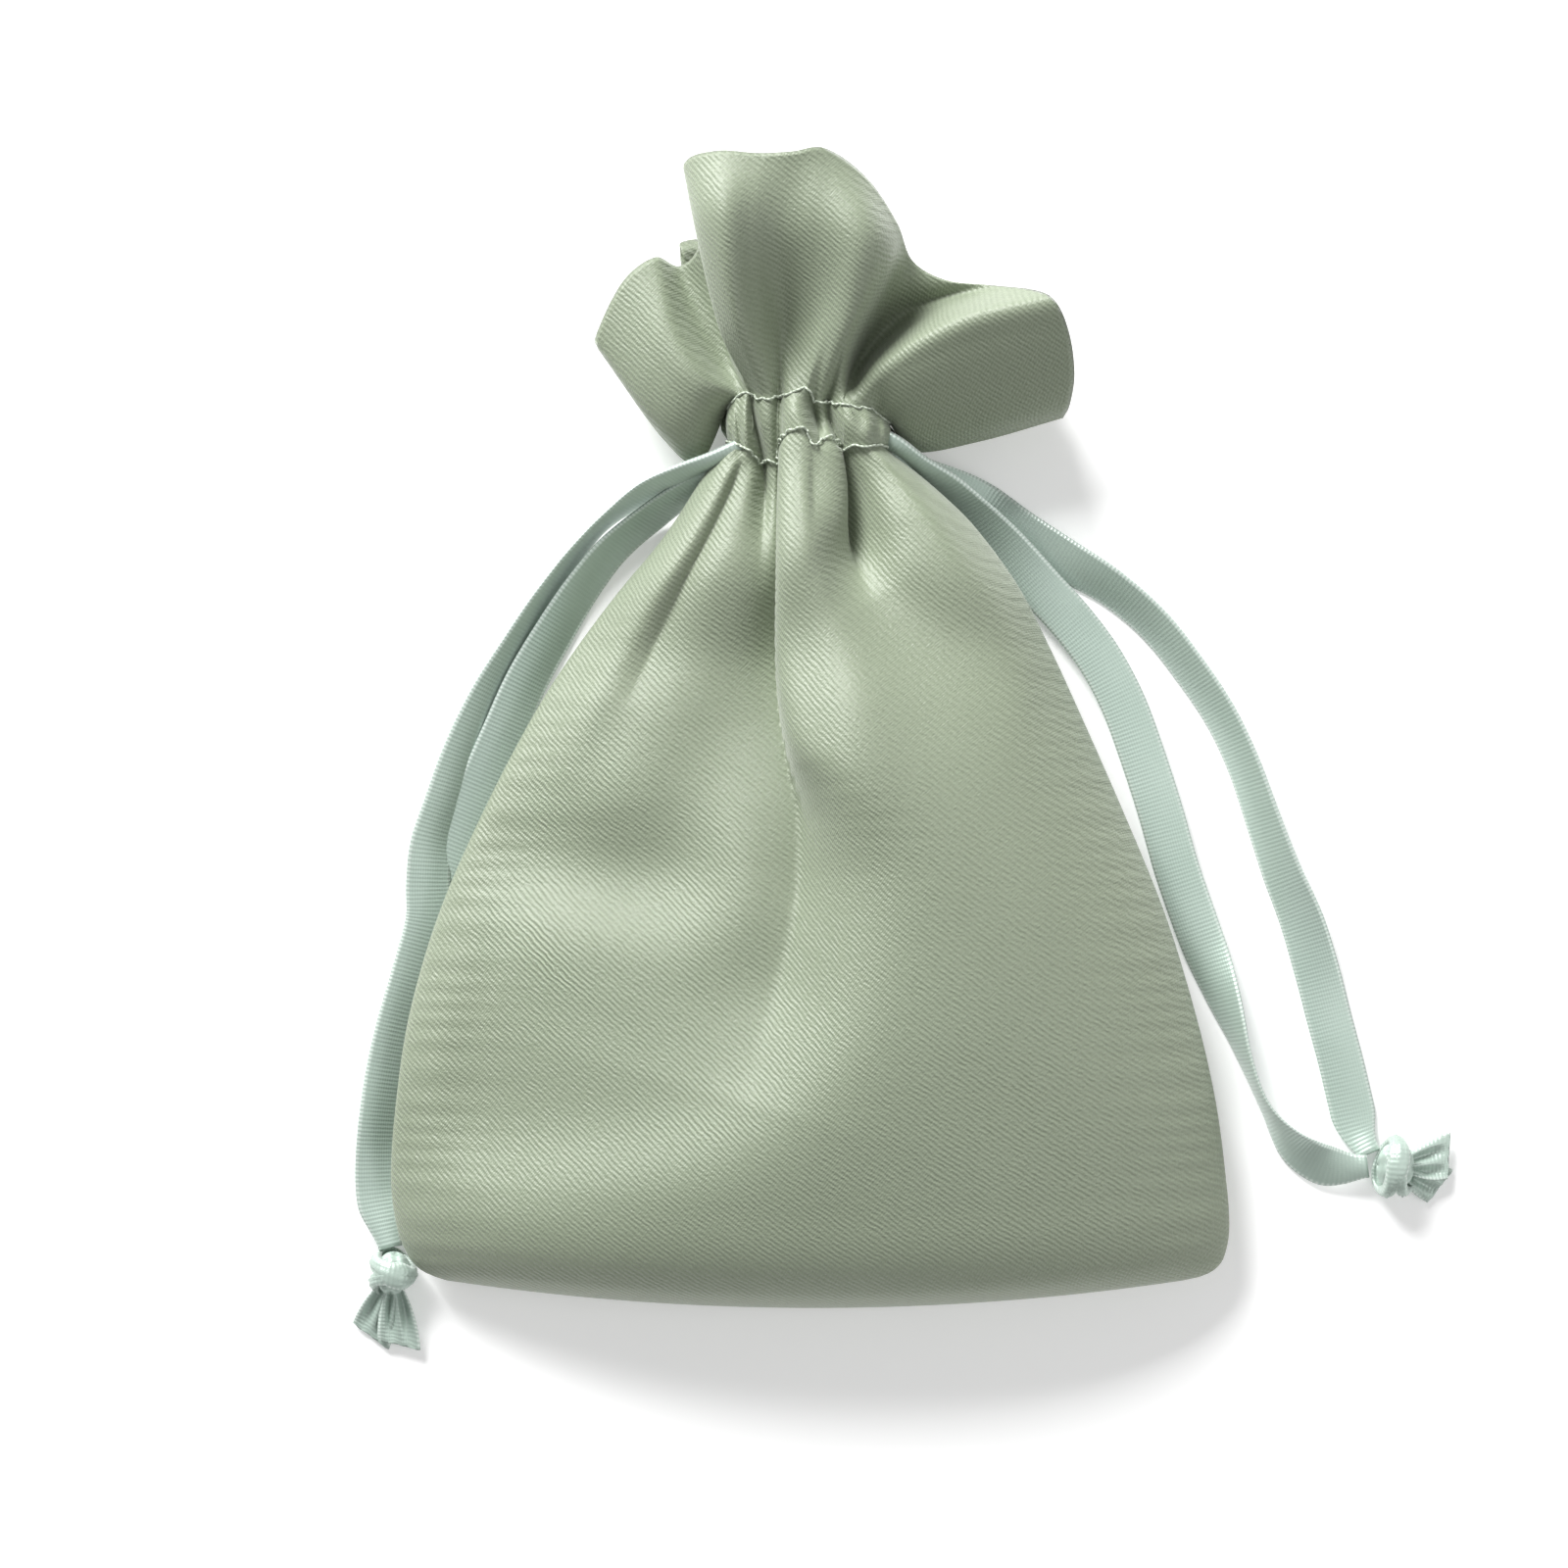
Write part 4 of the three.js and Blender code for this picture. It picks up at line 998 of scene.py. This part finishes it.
@dataclass
class Stitches:
    """Rows of sewing thread round the channel, which lie over the pleats in shallow loops."""

    thread_radius: float = 0.17
    stitch: float = 1.9
    sides: int = 8
    step: float = 0.16
    low: float = 0.02
    loop: float = 0.42
    scallop: float = 0.3
    table_gap: float = 0.05

    def row(self, grid: Array, row: int, drop: float) -> Array:
        """Centreline of one row of stitches on a cloth.

        The line follows the cloth's row, stands off it by a half wave for each stitch and drops by another.

        Args:
            grid: The cloth.
            row: Which row of the grid.
            drop: How far the line scallops along the sack.

        Returns:
            Places along the thread.
        """
        line = grid[row, 2:-2]
        normal = grid_normals(grid)[row, 2:-2]
        run = run_lengths(line)
        even = np.arange(0.0, run[-1], self.step)
        place = np.stack([np.interp(even, run, line[:, k]) for k in range(3)], axis=1)
        out = unit(np.stack([np.interp(even, run, normal[:, k]) for k in range(3)], axis=1))
        wave = np.abs(np.sin(np.pi * even / self.stitch))
        place = place + out * (self.low + self.loop * wave)[:, None]
        place[:, 1] -= drop * wave
        return place

    def tube(self, line: Array) -> MeshPart:
        """Round tube along a line, its rings upright to it."""
        ahead = unit(np.gradient(line, axis=0))
        side = unit(np.cross(ahead, np.array([0.0, 1.0, 0.15])))
        up = np.cross(side, ahead)
        angle = np.linspace(0, 2 * np.pi, self.sides, endpoint=False)
        ring = np.cos(angle)[None, :, None] * side[:, None] + np.sin(angle)[None, :, None] * up[:, None]
        return tube_part(line[:, None] + self.thread_radius * ring, run_lengths(line))

    def build(self, sack: Sack) -> list[bpy.types.Object]:
        """Makes the four rows.

        Args:
            sack: The sack that they are sewn through.

        Returns:
            The four pieces.
        """
        made = []
        for half in Half:
            grid = sack.grids[half]
            rows = {"lower": sack.row_marks["neck"] + 1, "upper": sack.row_marks["upper"]}
            for (name, row), drop in zip(rows.items(), (-self.scallop, self.scallop)):
                line = self.row(grid, row, drop)
                line[:, 2] = np.maximum(line[:, 2], self.thread_radius + self.table_gap)
                made.append(make_welded(f"{half.name.lower()}_{name}_thread", [self.tube(line)]))
        return made

    def dress(self, pieces: list[bpy.types.Object], sack: Sack) -> None:
        """Gives the rows their thread and hides the imported parts that they stand for."""
        thread = THREAD.material()
        for piece in pieces:
            dress(piece, thread)
            follow_mouth(piece)
            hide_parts(piece.name.replace("_thread", "_stitches"))


@dataclass
class SeamAllowances:
    """The doubled edges that are turned inside at the two sides and the base."""

    width: float = 5.0
    inset: float = 1.6
    thickness: float = 0.5
    skip_low: int = 14
    skip_high: int = 8
    skip_base: int = 24

    def strip(self, name: str, outer: Array, inner: Array) -> bpy.types.Object:
        """A thin closed strip between two edges, with a slight wave from its stitching."""
        share = np.linspace(0.0, 1.0, 6)[None, :, None]
        wave = 0.15 * np.sin(np.linspace(0, 60 * np.pi, len(outer)))[:, None] * share[..., 0] ** 2
        mid = outer[:, None] * (1 - share) + inner[:, None] * share
        mid[..., 2] += wave
        half = np.array([0.0, 0.0, self.thickness / 2])
        ring = np.concatenate([mid + half, (mid - half)[:, ::-1]], axis=1)
        return make_welded(name, [tube_part(ring, run_lengths(mid)[:, 0])])

    def build(self, sack: Sack) -> list[bpy.types.Object]:
        """Makes the three allowances just inside the seams.

        Args:
            sack: The sack whose front cloth's edges they follow.

        Returns:
            The left, right and base allowance.
        """
        grid = sack.grids[Half.FRONT]
        rows = slice(self.skip_low, sack.row_marks["neck"] - self.skip_high)
        left, right = grid[rows, 0], grid[rows, -1]
        base = grid[0, self.skip_base:-self.skip_base]
        x, y = np.array([1.0, 0.0, 0.0]), np.array([0.0, 1.0, 0.0])
        far = self.inset + self.width
        return [
            self.strip("left_seam_edges", left + x * self.inset, left + x * far),
            self.strip("right_seam_edges", right - x * self.inset, right - x * far),
            self.strip("base_seam_edges", base + y * self.inset, base + y * far),
        ]

    def dress(self, pieces: list[bpy.types.Object], sack: Sack) -> None:
        """Gives the allowances the satin's wrong side and hides the imported parts that they stand for."""
        cloth = SATIN_INSIDE.material()
        for piece in pieces:
            dress(piece, cloth)
            follow_mouth(piece)
            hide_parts(piece.name.replace("_edges", "_allowance"))


# ---------- Ribbons ----------


@dataclass
class RibbonStrip:
    """A flat ribbon along a route, turned about it by an angle at each of its places."""

    name: str
    route: tuple[Place, ...]
    roll: tuple[float, ...]
    width: float = 6.9
    thickness: float = 0.3
    pinch: tuple[float, float] = (0.42, 0.5)
    steps: int = 220
    columns: int = 13
    edge_swell: float = 0.7
    cup: float = 0.28
    crush: float = 1.6
    even_steps: int = 9
    floor: float = 0.25

    def section(self) -> Array:
        """Cross-section: two faces that cup slightly, and thicker rounded edges."""
        a = np.linspace(-1.0, 1.0, self.columns)
        thick = self.thickness / 2 * (1 + self.edge_swell * np.exp(-(((np.abs(a) - 0.93) / 0.05) ** 2)))
        cup = -self.cup * a * a
        top = np.stack([a, cup + thick], axis=1)
        bottom = np.stack([a, cup - thick], axis=1)[::-1]
        return np.concatenate([top, bottom])

    def rings(self) -> tuple[Array, Array, Array]:
        """Rings of points along the ribbon, which narrows and thickens at its two ends.

        Where a ring would reach below the table the ribbon is raised, and the raised stretches are evened.

        Returns:
            The rings, the centreline and the length travelled.
        """
        line = resample(self.route, self.steps)
        share = np.linspace(0.0, 1.0, self.steps)
        roll = hermite(share, np.linspace(0, 1, len(self.roll)), np.radians(self.roll))
        ahead = unit(np.gradient(line, axis=0))
        level = unit(np.cross(np.array([0.0, 0.0, 1.0]), ahead))
        up = np.cross(ahead, level)
        side = level * np.cos(roll)[:, None] + up * np.sin(roll)[:, None]
        lift = np.cross(ahead, side)
        start, end = self.pinch
        full = start + (1 - start) * smooth_step(0.04, 0.16, share)
        full = full * (end + (1 - end) * smooth_step(0.0, 0.05, 1 - share))
        half = self.width / 2 * full
        section = self.section()
        rings = line[:, None] + side[:, None] * section[None, :, :1] * half[:, None, None]
        fold = 1 + self.crush * (1 - full)
        rings = rings + lift[:, None] * section[None, :, 1:] * fold[:, None, None]
        low = rings[..., 2].min(axis=1)
        raise_by = np.maximum(0.0, self.floor - low)
        kernel = np.ones(self.even_steps) / self.even_steps
        padded = np.pad(raise_by, self.even_steps // 2, "edge")
        raise_by = np.maximum(raise_by, np.convolve(padded, kernel, "valid"))
        rings[..., 2] += raise_by[:, None]
        line[:, 2] += raise_by
        return rings, line, run_lengths(line)

    def build(self) -> tuple[bpy.types.Object, Array]:
        """Makes the ribbon.

        Returns:
            The piece and its centreline in millimetres.
        """
        rings, line, along = self.rings()
        across = np.linspace(-1, 1, self.columns)
        part = tube_part(rings, along, np.concatenate([across, across[::-1]]))
        return make_welded(self.name, [part]), line


@dataclass
class PullLoop:
    """One pull loop: two strands, the knot that ties them and the two cut ends."""

    side: str
    strands: tuple[RibbonStrip, RibbonStrip]
    exit: Place
    knot: Place
    heading: float
    knot_size: Place
    tails: tuple[tuple[float, float, float, float], ...]
    steps: int = 64
    band_columns: int = 9
    core_grid: tuple[int, int] = (30, 40)
    core_share: float = 0.42
    tail_grid: tuple[int, int] = (40, 21)
    tail_thickness: float = 0.22
    table_gap: float = 0.25

    def band(self, slant: float, shift: float, width: float, swell: float) -> MeshPart:
        """One turn of ribbon round the knot: a flat, crowned band on a slanted ellipse.

        Args:
            slant: How far the turn leans along the ribbon, as a share of the knot's length.
            shift: Where its middle lies along the ribbon.
            width: Width of the band.
            swell: Size of the ellipse, 1 for the knot's own.

        Returns:
            The mesh part.
        """
        ahead, side, up = heading_axes(self.heading)
        length, across, tall = self.knot_size
        turn = np.linspace(0, 2 * np.pi, self.steps, endpoint=False)
        ry, rz = across / 2 * swell, tall / 2 * swell
        out = unit(np.cos(turn)[:, None] * side / ry + np.sin(turn)[:, None] * up / rz)
        middle = np.array(self.knot) + ahead * shift
        centre = middle + np.cos(turn)[:, None] * side * ry + np.sin(turn)[:, None] * up * rz
        centre = centre + ahead * (slant * length * np.sin(turn + 0.6))[:, None]
        a = np.linspace(-1, 1, self.band_columns)
        crease = 0.16 * np.cos(3.2 * np.pi * a)[None, :] * (1 + 0.5 * np.sin(3 * turn))[:, None]
        crown = 0.55 * (1 - a * a)[None, :] + crease
        narrow = 1 - 0.22 * np.cos(2 * turn + 0.5)
        middle = centre[:, None] + ahead * (a * width / 2)[None, :, None] * narrow[:, None, None]
        top = middle + out[:, None] * (crown + 0.15)[..., None]
        low = middle + out[:, None] * (0.5 * crown - 0.9)[..., None]
        ring = np.concatenate([top, low[:, ::-1]], axis=1)
        uv = spread_uv(np.concatenate([a, a[::-1]]), turn * (ry + rz) / 2)
        return ring.reshape(-1, 3), grid_faces(*ring.shape[:2], closed=True), uv

    def core(self) -> MeshPart:
        """The bunched ribbon inside the turns: an ellipsoid pleated lengthwise."""
        ahead, side, up = heading_axes(self.heading)
        length, across, tall = self.knot_size
        rows, columns = self.core_grid
        v = np.linspace(0.02, np.pi - 0.02, rows)[:, None]
        u = np.linspace(0, 2 * np.pi, columns, endpoint=False)[None, :]
        pleat = 1 + 0.1 * np.sin(7 * u + 1.5 * v) * np.sin(v)
        s = -np.cos(v) * length / 2 * (1 + 0.06 * np.sin(3 * u))
        r = np.sin(v) ** 0.75 * pleat
        points = np.array(self.knot) + ahead * s[..., None]
        points = points + side * (r * np.cos(u) * across * self.core_share)[..., None]
        points = points + up * (r * np.sin(u) * tall * self.core_share)[..., None]
        return tube_part(points, np.linspace(0, length, rows))

    def tail(self, turn: float, length: float, width: float, lift: float) -> MeshPart:
        """A cut end: ribbon that fans out from the knot in ripples to a slanted, frayed edge.

        Args:
            turn: Its heading in degrees from the ribbon's.
            length: From the knot to the cut.
            width: At the cut.
            lift: Height of its middle at the cut.

        Returns:
            The mesh part.
        """
        ahead, side, up = heading_axes(self.heading + turn)
        rows, columns = self.tail_grid
        v = np.linspace(0, 1, rows)[:, None]
        w = np.linspace(-1, 1, columns)[None, :]
        half = width / 2 * (0.32 + 0.68 * np.sin(np.pi / 2 * v**0.8))
        fray = 0.28 * np.sin(37.0 * w) * np.sin(91.0 * w + 1.0) * smooth_step(0.8, 1.0, v)
        reach = self.knot_size[0] * 0.3 + v * length * (1 + 0.09 * w) + fray
        ripple = (0.75 - 0.25 * v) * np.cos(2.4 * np.pi * w + turn) * np.sin(np.pi * (v * 0.9 + 0.1))
        z = self.knot[2] * (1 - v) ** 1.5 + lift * smooth_step(0, 1, v) + ripple + 0.3
        z = np.maximum(z, self.table_gap)
        middle = np.array([self.knot[0], self.knot[1], 0.0])
        top = middle + ahead * reach[..., None] + side * (half * w)[..., None] + up * z[..., None]
        ring = np.concatenate([top[:, ::-1], top - up * self.tail_thickness], axis=1)
        return tube_part(ring, v[:, 0] * length, np.concatenate([w[0, ::-1], w[0]]))

    def build(self) -> dict[str, object]:
        """Makes the strands, the knot and the cut ends.

        Returns:
            The strands with their centrelines, the knot and the tails.
        """
        strands = [strand.build() for strand in self.strands]
        length = self.knot_size[0]
        turns = [self.band(0.16, -0.12 * length, 0.52 * length, 1.0),
                 self.band(-0.2, 0.16 * length, 0.46 * length, 0.94)]
        knot = make_welded(f"{self.side}_knot_turns", [self.core(), *turns])
        tails = [make_welded(f"{self.side}_cut_end_{name}", [self.tail(*tail)])
                 for name, tail in zip(("lower", "upper"), self.tails)]
        return {"strands": strands, "knot": knot, "tails": tails}

    def dress(self, made: dict[str, object], ribbon: bpy.types.Material) -> None:
        """Gives the loop its ribbon, hangs the knot and cut ends on the pull knot's empty, and hides the
        imported parts that the pieces stand for.
        """
        loop, pull = f"{self.side}_loop", f"{self.side}_pull_knot"
        knot, tails = made["knot"], made["tails"]
        for piece in (knot, *tails):
            dress(piece, ribbon)
            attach(piece, pull)
        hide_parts(f"{self.side}_knot")
        for name, piece in zip(("lower", "upper"), tails):
            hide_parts(f"{self.side}_tail_{name}")
        for (piece, line), strand in zip(made["strands"], self.strands):
            dress(piece, ribbon)
            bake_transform(piece)
            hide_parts(strand.name.replace("ribbon", "strand"))


LEFT_LOOP = PullLoop(
    side="left",
    strands=(
        RibbonStrip("left_ribbon_outer", (
            (-8.4, 44.2, 11.2), (-11, 43, 12.8), (-14.6, 41.4, 12.4), (-19.2, 39.6, 9.8),
            (-25.4, 36.6, 6.2), (-31.6, 32.2, 4.4), (-36.2, 27, 3.8), (-40.4, 20.8, 3.4),
            (-44.8, 13.4, 3.1), (-49.2, 6, 2.9), (-52.9, -1.9, 2.8), (-55.8, -10, 2.6), (-57.8, -16.2, 2.5),
            (-58.3, -21.9, 2.4), (-58.4, -27.8, 2.3), (-60.6, -35.9, 2.2), (-63, -44.1, 2.2),
            (-64.8, -52.2, 2.2), (-65.9, -60.4, 2.2), (-66, -68.5, 2.3), (-65, -74, 3), (-64.1, -77.6, 3.4)),
            roll=(-40, -50, -60, -76, -70, -56, -44, -38, -34, -30, -16, -18, -24, -26, -30, -14, 0)),
        RibbonStrip("left_ribbon_inner", (
            (-8.4, 43, 9.8), (-11, 41.8, 11), (-14.6, 39.8, 9.8), (-18.8, 37.2, 6.6), (-24, 33.6, 3),
            (-30, 28.6, 0.9), (-34.8, 22.6, 0.7), (-39.4, 15.4, 0.7), (-43.4, 8.4, 0.7), (-46.6, 1.2, 0.7),
            (-49.6, -5.6, 0.7), (-52.2, -11.8, 0.7), (-54.6, -17.4, 0.7), (-56.4, -22.6, 0.7),
            (-57.4, -27.8, 0.7), (-59.2, -35.2, 0.7), (-61.8, -43.3, 0.7), (-63.9, -51.5, 0.7),
            (-65.2, -60.4, 0.7), (-65.2, -68.5, 1), (-64.6, -74, 1.6), (-64.1, -77.6, 2.2)),
            roll=(-30, -44, -54, -46, -34, -24, -14, -8, -4, 0, 0, 0, 0, 0)),
    ),
    exit=(-14.6, 45.8, 9.0),
    knot=(-63.6, -81.4, 3.6),
    heading=-98.0,
    knot_size=(6.2, 6.0, 5.4),
    tails=((-12.0, 8.8, 6.6, 0.6), (12.0, 9.4, 6.4, 1.5)),
)

RIGHT_LOOP = PullLoop(
    side="right",
    strands=(
        RibbonStrip("right_ribbon_inner", (
            (9.6, 45.4, 11.6), (12.8, 43.6, 12.2), (16.4, 41, 10), (20.8, 37.8, 7.2), (25.2, 33.4, 4.6),
            (29.8, 28.8, 3), (35, 23, 2.4), (39.8, 17.8, 2.1), (44, 12.2, 2.1), (47.6, 5.4, 2.1),
            (50.6, -2.7, 2.1), (53.4, -11.4, 2.1), (55.7, -19.6, 2.1), (58.5, -27.8, 2.1),
            (61.4, -35.9, 2.1), (63.9, -43.3, 2.1), (66.2, -50, 2.1), (69, -56.4, 2.3), (73, -62, 2.6),
            (77.6, -65, 2.4), (81.4, -65.6, 2.6), (84.8, -65.3, 3.4)),
            roll=(40, 48, 44, 24, 6, 0, 0, 0, 0, 4, 14, 46, 76, 80, 34, 4)),
        RibbonStrip("right_ribbon_outer", (
            (9.6, 44.4, 10.2), (12.8, 42.8, 10.2), (16.6, 41, 8.1), (21.7, 38.4, 4.6), (26.8, 35.2, 1.6),
            (32.6, 31, 0.8), (39, 26.9, 0.7), (45.6, 22.8, 0.7), (52, 17.3, 0.7), (57.5, 10.4, 0.7),
            (62.2, 3.3, 0.7), (65.7, -4.1, 0.7), (68.6, -12.2, 0.7), (71.6, -20.4, 0.7), (74.8, -27.8, 0.7),
            (77.2, -35.2, 0.7), (79.2, -42.6, 0.7), (81, -49.3, 0.7), (82.4, -55.2, 0.7), (83.6, -60, 1),
            (85.2, -63.4, 2.2)),
            roll=(0, 0, 4, 20, 40, 46, 48, 50, 46, 34, 12, 0, 0, 0)),
    ),
    exit=(13.8, 46.0, 9.0),
    knot=(88.9, -65.2, 3.7),
    heading=-4.0,
    knot_size=(5.4, 8.2, 5.6),
    tails=((-20.0, 6.4, 6.2, 0.6), (14.0, 7.0, 7.0, 1.6)),
)


@dataclass
class ChannelRuns:
    """The two ribbons inside the channel, each once round it."""

    width: float = 5.6
    thickness: float = 0.3
    ends: float = 0.6
    left_setback: float = 6.4
    right_setback: float = 7.0
    steps: int = 120
    columns: int = 7
    round_length: float = 60.0

    def ring(self, sack: Sack, setback: float) -> Array:
        """Closed strip round the channel: an ellipse set in from the cloth, carried along the sack.

        Args:
            sack: The sack.
            setback: How far inside the cloth it lies. At the seams it turns further in by `ends`.

        Returns:
            Rings of points.
        """
        turn = np.linspace(0, 2 * np.pi, self.steps, endpoint=False)
        rx = sack.neck_half_width - 0.6 * setback - self.ends
        rz = sack.neck_half_height - setback
        middle = np.array([sack.neck_x, (sack.neck_y + sack.upper_y) / 2, sack.neck_z])
        out = np.stack([np.cos(turn), 0 * turn, np.sin(turn)], axis=1)
        centre = middle + out * np.array([rx, 0.0, rz])
        a = np.linspace(-1, 1, self.columns)
        middle = centre[:, None] + np.array([0.0, 1.0, 0.0]) * (a * self.width / 2)[None, :, None]
        outer = middle + out[:, None] * (self.thickness / 2)
        inner = middle - out[:, None] * (self.thickness / 2)
        return np.concatenate([outer[:, ::-1], inner], axis=1)

    def build(self, sack: Sack) -> list[bpy.types.Object]:
        """Makes both runs.

        Args:
            sack: The sack.

        Returns:
            The left and the right ribbon's run.
        """
        made = []
        a = np.linspace(-1, 1, self.columns)
        uv = spread_uv(np.concatenate([a, a]), np.linspace(0, self.round_length, self.steps))
        for side, setback in (("left", self.left_setback), ("right", self.right_setback)):
            ring = self.ring(sack, setback)
            faces = grid_faces(*ring.shape[:2], closed=True)
            made.append(make_mesh(f"{side}_ribbon_run", [(ring.reshape(-1, 3), faces, uv)]))
        return made

    def dress(self, pieces: list[bpy.types.Object], sack: Sack, ribbon: bpy.types.Material) -> None:
        """Gives the runs their ribbon and hides the imported parts that they stand for."""
        for side, piece in zip(("left", "right"), pieces):
            dress(piece, ribbon)
            follow_mouth(piece)
            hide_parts(f"back_run_{side}_ribbon", f"front_run_{side}_ribbon")


# ---------- Studio ----------


@dataclass
class Studio:
    """Camera, pale floor and soft light."""

    lens: float = 100.0
    sensor: float = 36.0
    view_width: float = 0.2371
    centre: Place = (-0.0041, -0.007, 0.008)
    floor_size: float = 6.0
    surround: float = 0.34

    # Each light's place and side in metres, and its power in watts.
    key: tuple[Place, float, float] = ((-0.56, 1.1, 0.74), 0.6, 40.0)
    fill: tuple[Place, float, float] = ((1.0, -0.35, 1.0), 1.2, 6.0)

    def camera(self) -> None:
        """A camera straight above the sack, with its top towards the mouth."""
        data = bpy.data.cameras.new("camera")
        data.lens = self.lens
        data.sensor_width = self.sensor
        data.clip_start, data.clip_end = 0.01, 20.0
        camera = bpy.data.objects.new("camera", data)
        distance = self.view_width * self.lens / self.sensor
        camera.location = (self.centre[0], self.centre[1], self.centre[2] + distance)
        bpy.context.scene.collection.objects.link(camera)
        bpy.context.scene.camera = camera

    def floor(self) -> None:
        """A pale matt floor at the table's height."""
        half = self.floor_size / 2
        corners = np.array([[-half, -half, 0], [half, -half, 0], [half, half, 0], [-half, half, 0]]) / MM
        floor = make_mesh("floor", [(corners, np.array([[0, 1, 2, 3]]), corners[:, :2])])
        nodes = Nodes("pale_floor")
        nodes.set(Base_Color=(0.9, 0.9, 0.9, 1.0), Roughness=0.9, Emission_Strength=0.22)
        nodes.set(Emission_Color=(1.0, 1.0, 1.0, 1.0))
        floor.data.materials.append(nodes.material)

    def light(self, name: str, place: Place, size: float, power: float) -> None:
        """A square soft light at a place, aimed at the sack.

        Args:
            name: Its name.
            place: Where it hangs, in metres.
            size: Length of its side.
            power: In watts.
        """
        data = bpy.data.lights.new(name, "AREA")
        data.size, data.energy = size, power
        lamp = bpy.data.objects.new(name, data)
        lamp.location = place
        lamp.rotation_mode = "QUATERNION"
        lamp.rotation_quaternion = (-Vector(place)).to_track_quat("-Z", "Y")
        bpy.context.scene.collection.objects.link(lamp)

    def build(self) -> None:
        """Makes the camera, the floor, the lights and an even white surround."""
        self.camera()
        self.floor()
        self.light("key", *self.key)
        self.light("fill", *self.fill)
        world = bpy.data.worlds.new("surround")
        world.use_nodes = True
        background = world.node_tree.nodes["Background"]
        background.inputs["Color"].default_value = (1.0, 1.0, 1.0, 1.0)
        background.inputs["Strength"].default_value = self.surround
        bpy.context.scene.world = world
        bpy.context.scene.view_settings.view_transform = "Standard"


def main() -> None:
    """Builds the studio and every piece of the sack."""
    logging.basicConfig(level=logging.INFO, format="%(name)s %(message)s")
    Studio().build()
    ribbon = RIBBON.material()
    for loop in (LEFT_LOOP, RIGHT_LOOP):
        loop.dress(loop.build(), ribbon)
    sack = Sack()
    sack.dress(sack.build())
    stitches = Stitches()
    stitches.dress(stitches.build(sack), sack)
    seams = SeamAllowances()
    seams.dress(seams.build(sack), sack)
    runs = ChannelRuns()
    runs.dress(runs.build(sack), sack, ribbon)


if __name__ == "__main__":
    main()
